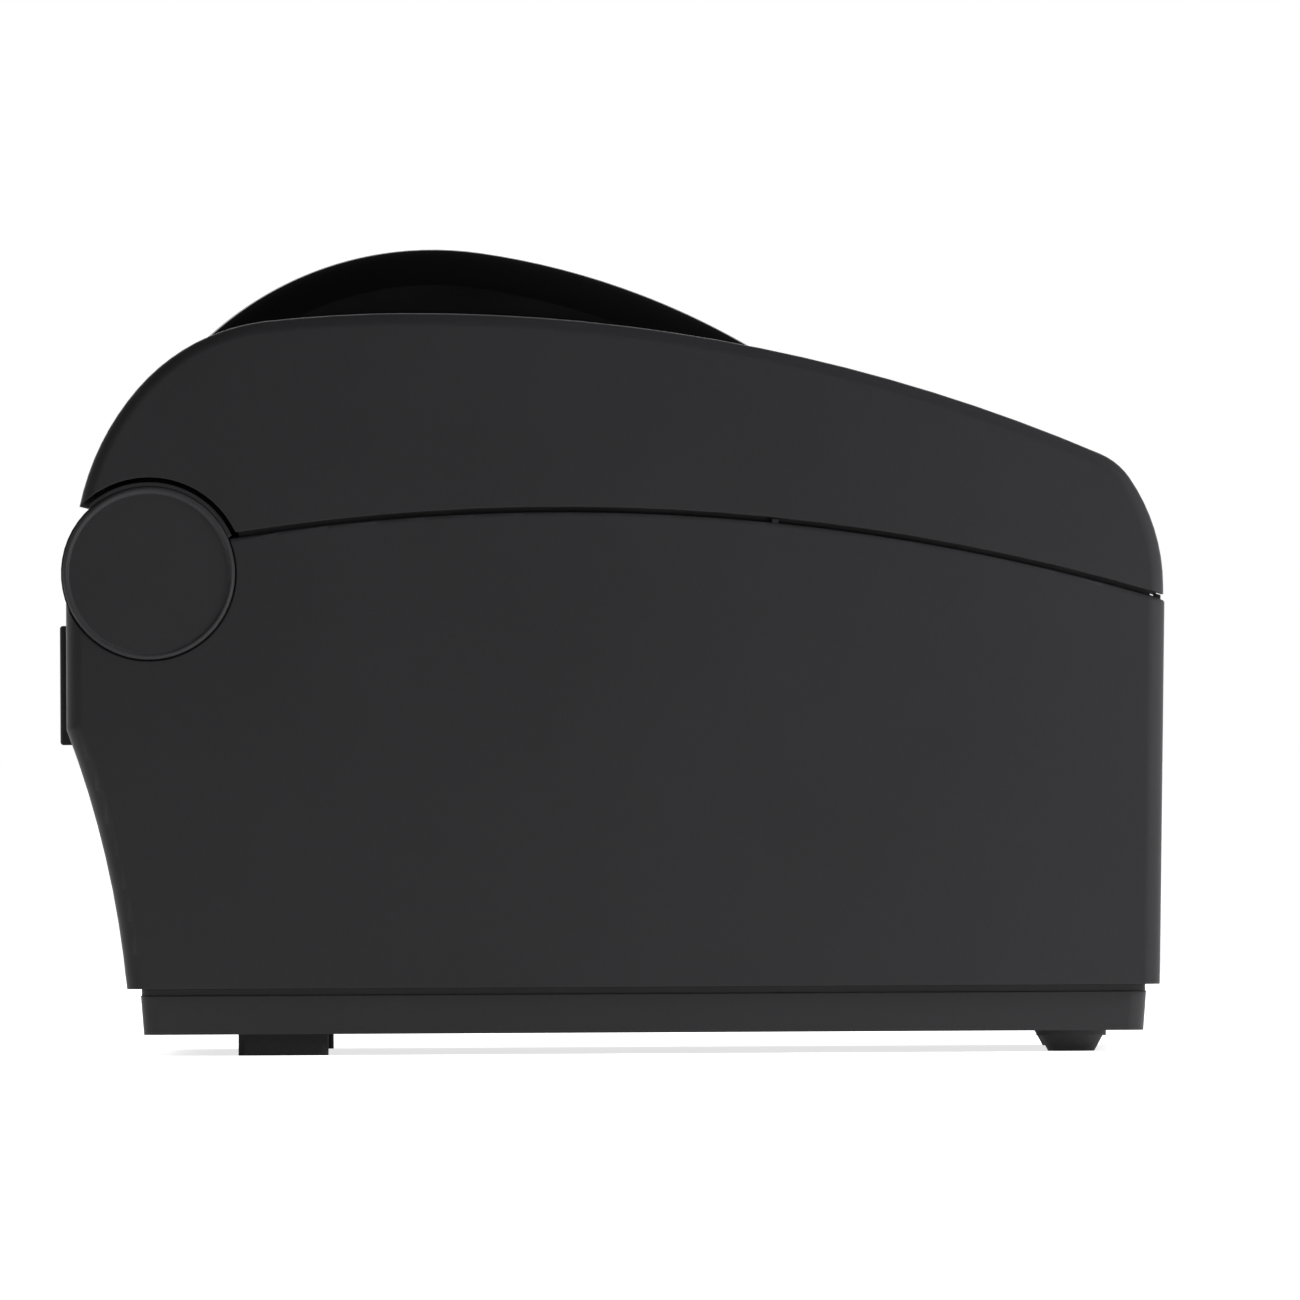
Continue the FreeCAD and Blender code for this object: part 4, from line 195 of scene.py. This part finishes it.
def finish(name, colour, rough, grain=1500.0, bump=0.06, specular=0.4, metallic=0.0, coat=0.0,
           spread=0.10, rough_spread=0.06, edge=0.25, edge_radius=0.0003, edge_shade=2.2,
           stretch=(1.0, 1.0, 1.0)):
    """Surface with mottled colour, uneven roughness, a fine grain, and edges lightened partly as
    wear and partly as a painted highlight.
    """
    material = bpy.data.materials.new(name)
    nodes = Nodes(material)
    output = nodes.add("ShaderNodeOutputMaterial")
    shader = nodes.add("ShaderNodeBsdfPrincipled")
    nodes.join(shader.outputs["BSDF"], output.inputs["Surface"])
    coordinates = nodes.add("ShaderNodeTexCoord")
    mapping = nodes.add("ShaderNodeMapping")
    mapping.inputs["Scale"].default_value = stretch
    nodes.join(coordinates.outputs["Object"], mapping.inputs["Vector"])
    place = mapping.outputs["Vector"]

    cloud = nodes.span(nodes.noise(place, CLOUD_SCALE, detail=4.0), 0.0, 1.0)
    fine = nodes.noise(place, grain, detail=1.0)
    smudge = nodes.noise(place, SMUDGE_SCALE, detail=3.0)
    bevel = nodes.add("ShaderNodeBevel", samples=BEVEL_SAMPLES)
    bevel.inputs["Radius"].default_value = edge_radius
    rounded = bevel.outputs["Normal"]

    mottled = nodes.mix(cloud, shade(colour, 1.0 - spread), shade(colour, 1.0 + spread))
    speckled = nodes.mix(nodes.span(fine, 0.0, SPECKLE_SHARE), mottled, shade(colour, SPECKLE_SHADE))
    # Edges lightened by edge_shade: partly wear, partly a painted highlight on rounded edges
    worn_and_highlit = nodes.mix(nodes.wear_and_edge_highlight(rounded, edge), speckled, shade(colour, edge_shade))
    nodes.join(worn_and_highlit, shader.inputs["Base Color"])
    uneven = nodes.span(smudge, rough - rough_spread, rough + rough_spread)
    nodes.join(uneven, shader.inputs["Roughness"])
    shader.inputs["Metallic"].default_value = metallic
    shader.inputs["Specular IOR Level"].default_value = specular
    shader.inputs["Coat Weight"].default_value = coat
    shader.inputs["Coat Roughness"].default_value = COAT_ROUGHNESS
    relief = nodes.add("ShaderNodeBump")
    relief.inputs["Strength"].default_value = bump
    relief.inputs["Distance"].default_value = GRAIN_DEPTH
    nodes.join(fine, relief.inputs["Height"])
    nodes.join(rounded, relief.inputs["Normal"])
    nodes.join(relief.outputs["Normal"], shader.inputs["Normal"])
    return material


CASE_COLOUR = (0.0200, 0.0200, 0.0215)

# Look of each material slot of the record
LOOKS = {
    # edge and edge_radius lighten the case's rounded edges: a painted highlight along them, with
    # some wear
    "case_plastic": dict(colour=CASE_COLOUR, rough=0.5, specular=0.25, spread=0.06,
                         rough_spread=0.02, edge=0.3, edge_radius=0.0005),
    "inner_plastic": dict(colour=(0.018, 0.018, 0.019), rough=0.6, specular=0.25),
    "holder_plastic": dict(colour=(0.10, 0.105, 0.11), rough=0.45, bump=0.04),
    "window_plastic": dict(colour=(0.0022, 0.0022, 0.0023), rough=0.1, rough_spread=0.02,
                           bump=0.004, specular=0.35, edge=0.05),
    "button_plastic": dict(colour=(0.15, 0.155, 0.16), rough=0.4, bump=0.03),
    "lens_plastic": dict(colour=(0.24, 0.40, 0.30), rough=0.15, bump=0.01, coat=0.4),
    "foot_rubber": dict(colour=(0.020, 0.020, 0.0205), rough=0.75, grain=900.0, bump=0.12,
                        specular=0.2),
    "platen_rubber": dict(colour=(0.012, 0.012, 0.0125), rough=0.62, grain=1100.0, bump=0.10,
                          specular=0.3),
    "steel": dict(colour=(0.50, 0.50, 0.51), rough=0.28, metallic=1.0, bump=0.03,
                  stretch=(1.0, 0.05, 1.0)),
    "sheet_steel": dict(colour=(0.42, 0.43, 0.44), rough=0.36, metallic=1.0, bump=0.03,
                        spread=0.14),
    "aluminium": dict(colour=(0.62, 0.62, 0.63), rough=0.33, metallic=1.0, bump=0.04,
                      stretch=(1.0, 0.06, 1.0)),
    "ceramic": dict(colour=(0.50, 0.47, 0.40), rough=0.2, bump=0.01, coat=0.5),
    "gear_plastic": dict(colour=(0.58, 0.56, 0.50), rough=0.45, bump=0.03),
    "board": dict(colour=(0.012, 0.075, 0.03), rough=0.35, bump=0.03, coat=0.3),
    "chip": dict(colour=(0.014, 0.014, 0.015), rough=0.5),
    "socket_metal": dict(colour=(0.58, 0.58, 0.60), rough=0.22, metallic=1.0, bump=0.02),
    "socket_plastic": dict(colour=(0.010, 0.010, 0.011), rough=0.5, specular=0.3),
}
FINISHES = {slot: finish(slot, **look) for slot, look in LOOKS.items()}

# Pieces whose finish differs from the rest of their slot: hinge caps with a strong painted highlight
# on their rims, and front feet in rubber painted lighter, as painted light on feet that sit in
# shadow under the printer
OWN_FINISHES = {
    # Hinge caps: edge lightening strong enough to paint the highlight of their rounded rims
    "hinge_caps": finish("cap_plastic_painted_rim_highlight", CASE_COLOUR, rough=0.48, specular=0.3, spread=0.06,
                         rough_spread=0.02, edge=1.0, edge_radius=0.0007, edge_shade=4.5),
    # Front feet: rubber painted lighter than the rear feet's, as painted light on feet that sit in
    # shadow
    "front_feet": finish("front_foot_rubber_painted_light", (0.07, 0.07, 0.071), rough=0.75, grain=900.0,
                         bump=0.12, specular=0.2),
}

for entry in frame["record"]["subparts"]:
    piece = frame["nodes"][entry["node"]]
    piece.data.materials.clear()
    piece.data.materials.append(OWN_FINISHES.get(entry["node"], FINISHES[entry["material_slot"]]))
    for face in piece.data.polygons:
        face.material_index = 0


def place_on_base(name, mesh, slot):
    """Make a piece of this mesh that stays with the base."""
    bmesh.ops.recalc_face_normals(mesh, faces=mesh.faces)
    data = bpy.data.meshes.new(name)
    mesh.to_mesh(data)
    mesh.free()
    data.materials.append(FINISHES[slot])
    piece = bpy.data.objects.new(name, data)
    bpy.context.collection.objects.link(piece)
    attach(piece, "base")


# Rims that stand round each hinge drum and close the gap under the cover, seen end on

CAP_LOW, CAP_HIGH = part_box("hinge_caps")
HINGE_X = (CAP_LOW.x + CAP_HIGH.x) / 2
HINGE_Z = (CAP_LOW.z + CAP_HIGH.z) / 2
RIM_GAP = 0.0001                    # between a cap and the rim round it
RIM_WIDTH = 0.0011
RIM_SETBACK = 0.0009                # from the face of the cap's raised bead
RIM_DEPTH = 0.0096
LIP_WIDTH = 0.0020                  # keeps the lip 0.3 mm inside the cover's round cut
LIP_DEPTH = 0.0020
SECTOR_ANGLES = (24.0, 131.0)       # degrees, from the seam round to the cover's back edge
SECTOR_STEPS = 36
# Last corners of the lip, about the hinge, which carry it down to the end of the seam
SEAM_TOE = [(0.0202, 0.0070), (0.0224, 0.0070), (0.0224, 0.0098)]


def sector(inner, outer):
    """Outline of a ring sector about the hinge, in the plane of the side."""
    start, end = (math.radians(angle) for angle in SECTOR_ANGLES)
    turns = [start + (end - start) * step / SECTOR_STEPS for step in range(SECTOR_STEPS + 1)]
    far = [(outer * math.cos(turn), outer * math.sin(turn)) for turn in turns]
    near = [(inner * math.cos(turn), inner * math.sin(turn)) for turn in reversed(turns)]
    return far + near


def hinge_plate(name, outline, y0, y1, slot):
    """Plate with this outline about the hinge, from y0 to y1."""
    mesh = bmesh.new()
    ring = [mesh.verts.new((HINGE_X + x, y0, HINGE_Z + z)) for x, z in outline]
    cap = mesh.faces.new(ring)
    swept = bmesh.ops.extrude_face_region(mesh, geom=[cap])["geom"]
    moved = [item for item in swept if isinstance(item, bmesh.types.BMVert)]
    bmesh.ops.translate(mesh, vec=(0.0, y1 - y0, 0.0), verts=moved)
    place_on_base(name, mesh, slot)


def hinge_rims():
    """Outer rim and darker inner lip on both sides; the lip's darker inner plastic is painted shade
    in the gap.
    """
    inner = (CAP_HIGH.x - CAP_LOW.x) / 2 + RIM_GAP
    rim = sector(inner, inner + RIM_WIDTH)
    lip = sector(inner, inner + LIP_WIDTH) + SEAM_TOE
    rim_face = CAP_HIGH.y - RIM_SETBACK
    lip_face = rim_face - RIM_DEPTH
    for side, sign in (("right", -1.0), ("left", 1.0)):
        hinge_plate("hinge_rim_" + side, rim, sign * lip_face, sign * rim_face, "case_plastic")
        # The lip closes the see-through gap, and its darker inner plastic paints the shade in that
        # gap
        hinge_plate("hinge_lip_" + side, lip, sign * (lip_face - LIP_DEPTH), sign * lip_face,
                    "inner_plastic")


# Strip that makes the groove between the housing and the skirt shallow, as it looks in the photo

SKIRT_LOW, SKIRT_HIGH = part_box("bottom_plate")
GROOVE_TOP = 0.0165                 # where the side walls of the housing end
GROOVE_HEIGHT = 0.0017
STRIP_OUTER = (0.00068, 0.0037)     # inset from the skirt's box, corner radius
STRIP_INNER = (0.0022, 0.0002)
CORNER_STEPS = 8


def skirt_loop(inset, radius):
    """Outline of the skirt seen from above, moved in and with round corners."""
    x0, x1 = SKIRT_LOW.x + inset + radius, SKIRT_HIGH.x - inset - radius
    y0, y1 = SKIRT_LOW.y + inset + radius, SKIRT_HIGH.y - inset - radius
    points = []
    for x, y, first in ((x1, y1, 0.0), (x0, y1, 90.0), (x0, y0, 180.0), (x1, y0, 270.0)):
        for step in range(CORNER_STEPS + 1):
            turn = math.radians(first + 90.0 * step / CORNER_STEPS)
            points.append((x + radius * math.cos(turn), y + radius * math.sin(turn)))
    return points


def skirt_strip():
    """Closed ring of rectangular section that runs round the skirt in the groove."""
    mesh = bmesh.new()
    bottom = GROOVE_TOP - GROOVE_HEIGHT
    section = ((STRIP_OUTER, bottom), (STRIP_OUTER, GROOVE_TOP),
               (STRIP_INNER, GROOVE_TOP), (STRIP_INNER, bottom))
    loops = [[mesh.verts.new((x, y, z)) for x, y in skirt_loop(*loop)] for loop, z in section]
    for near, far in zip(loops, loops[1:] + loops[:1]):
        for index in range(len(near)):
            after = (index + 1) % len(near)
            mesh.faces.new((near[index], near[after], far[after], far[index]))
    # The strip takes the darker inner plastic so the groove still shows a dark line: painted shade
    place_on_base("skirt_strip", mesh, "inner_plastic")


def floor():
    """White sheet that looks as bright as the backdrop but keeps the printer's shadow."""
    bpy.ops.mesh.primitive_plane_add(size=FLOOR_SIZE, location=(0.0, 0.0, 0.0))
    plane = bpy.context.object
    plane.name = "floor"
    material = bpy.data.materials.new("floor")
    nodes = Nodes(material)
    output = nodes.add("ShaderNodeOutputMaterial")
    shader = nodes.add("ShaderNodeBsdfPrincipled")
    place = nodes.add("ShaderNodeTexCoord").outputs["Object"]
    cloud = nodes.noise(place, FLOOR_CLOUDS)
    nodes.join(nodes.mix(cloud, *FLOOR_TONES), shader.inputs["Base Color"])
    shader.inputs["Roughness"].default_value = FLOOR_ROUGHNESS
    shader.inputs["Specular IOR Level"].default_value = 0.0
    glow = nodes.add("ShaderNodeEmission")
    glow.inputs["Color"].default_value = WHITE
    glow.inputs["Strength"].default_value = FLOOR_GLOW
    both = nodes.add("ShaderNodeAddShader")
    nodes.join(shader.outputs["BSDF"], both.inputs[0])
    nodes.join(glow.outputs["Emission"], both.inputs[1])
    sheet = nodes.span(nodes.axes(place)["Y"], 0.0, 1.0, *SHEET_EDGE)
    seen = nodes.choose(nodes.backdrop_rays(sheet), shader.outputs["BSDF"], both.outputs["Shader"])
    nodes.join(seen, output.inputs["Surface"])
    plane.data.materials.append(material)


def world():
    """White to the camera, and to gloss and glass only behind the printer; dim for the rest."""
    studio = bpy.data.worlds.new("studio")
    bpy.context.scene.world = studio
    nodes = Nodes(studio)
    output = nodes.add("ShaderNodeOutputWorld")
    shaders = []
    for strength in (ROOM_LIGHT, BACKDROP_LIGHT):
        background = nodes.add("ShaderNodeBackground")
        background.inputs["Color"].default_value = WHITE
        background.inputs["Strength"].default_value = strength
        shaders.append(background.outputs["Background"])
    direction = nodes.axes(nodes.add("ShaderNodeTexCoord").outputs["Generated"])
    behind = nodes.span(direction["Y"], 0.0, 1.0, *ROOM_EDGE)
    below_top = nodes.span(direction["Z"], 1.0, 0.0, *WALL_TOP)
    wall = nodes.combine("MULTIPLY", behind, below_top)
    nodes.join(nodes.choose(nodes.backdrop_rays(wall), *shaders), output.inputs["Surface"])


def lamp(name, kind, place, target, energy, mirrored):
    """Lamp at a place, turned to a target; returns the lamp and its data."""
    data = bpy.data.lights.new(name, kind)
    data.energy = energy
    holder = bpy.data.objects.new(name, data)
    bpy.context.collection.objects.link(holder)
    holder.location = place
    holder.visible_glossy = mirrored
    direction = Vector(target) - holder.location
    holder.rotation_euler = direction.to_track_quat("-Z", "Y").to_euler()
    return holder, data


def lamps():
    """Sun from above, two lamps at the front right and two behind, as the photo sees it."""
    sun = lamp("sun", "SUN", SUN_PLACE, SUN_TARGET, SUN_STRENGTH, False)[1]
    sun.angle = SUN_ANGLE
    for name, place, target, width, height, watts, mirrored in AREA_LAMPS:
        holder, area = lamp(name, "AREA", place, target, watts, mirrored)
        holder.visible_camera = False
        area.shape = "RECTANGLE"
        area.size = width
        area.size_y = height


def camera():
    """Long lens square to the right side, framed and rolled like the photo."""
    pixel = MM_PER_PIXEL / 1000.0
    data = bpy.data.cameras.new("camera")
    data.sensor_width = SENSOR_MM
    data.lens = SENSOR_MM * CAMERA_DISTANCE / (PHOTO_PIXELS * pixel)
    data.clip_end = CLIP_END
    lens = bpy.data.objects.new("camera", data)
    bpy.context.collection.objects.link(lens)
    right = Vector((math.cos(PHOTO_ROLL), 0.0, -math.sin(PHOTO_ROLL)))
    up = Vector((math.sin(PHOTO_ROLL), 0.0, math.cos(PHOTO_ROLL)))
    across = (PHOTO_PIXELS / 2 - ORIGIN_PIXEL[0]) * pixel
    above = (ORIGIN_PIXEL[1] - PHOTO_PIXELS / 2) * pixel
    place = right * across + up * above
    place.y = SIDE_Y - CAMERA_DISTANCE
    turn = Matrix((right, up, Vector((0.0, -1.0, 0.0)))).transposed()
    lens.matrix_world = Matrix.Translation(place) @ turn.to_4x4()
    bpy.context.scene.camera = lens


hinge_rims()
skirt_strip()
floor()
world()
lamps()
camera()
bpy.context.scene.view_settings.view_transform = "Standard"
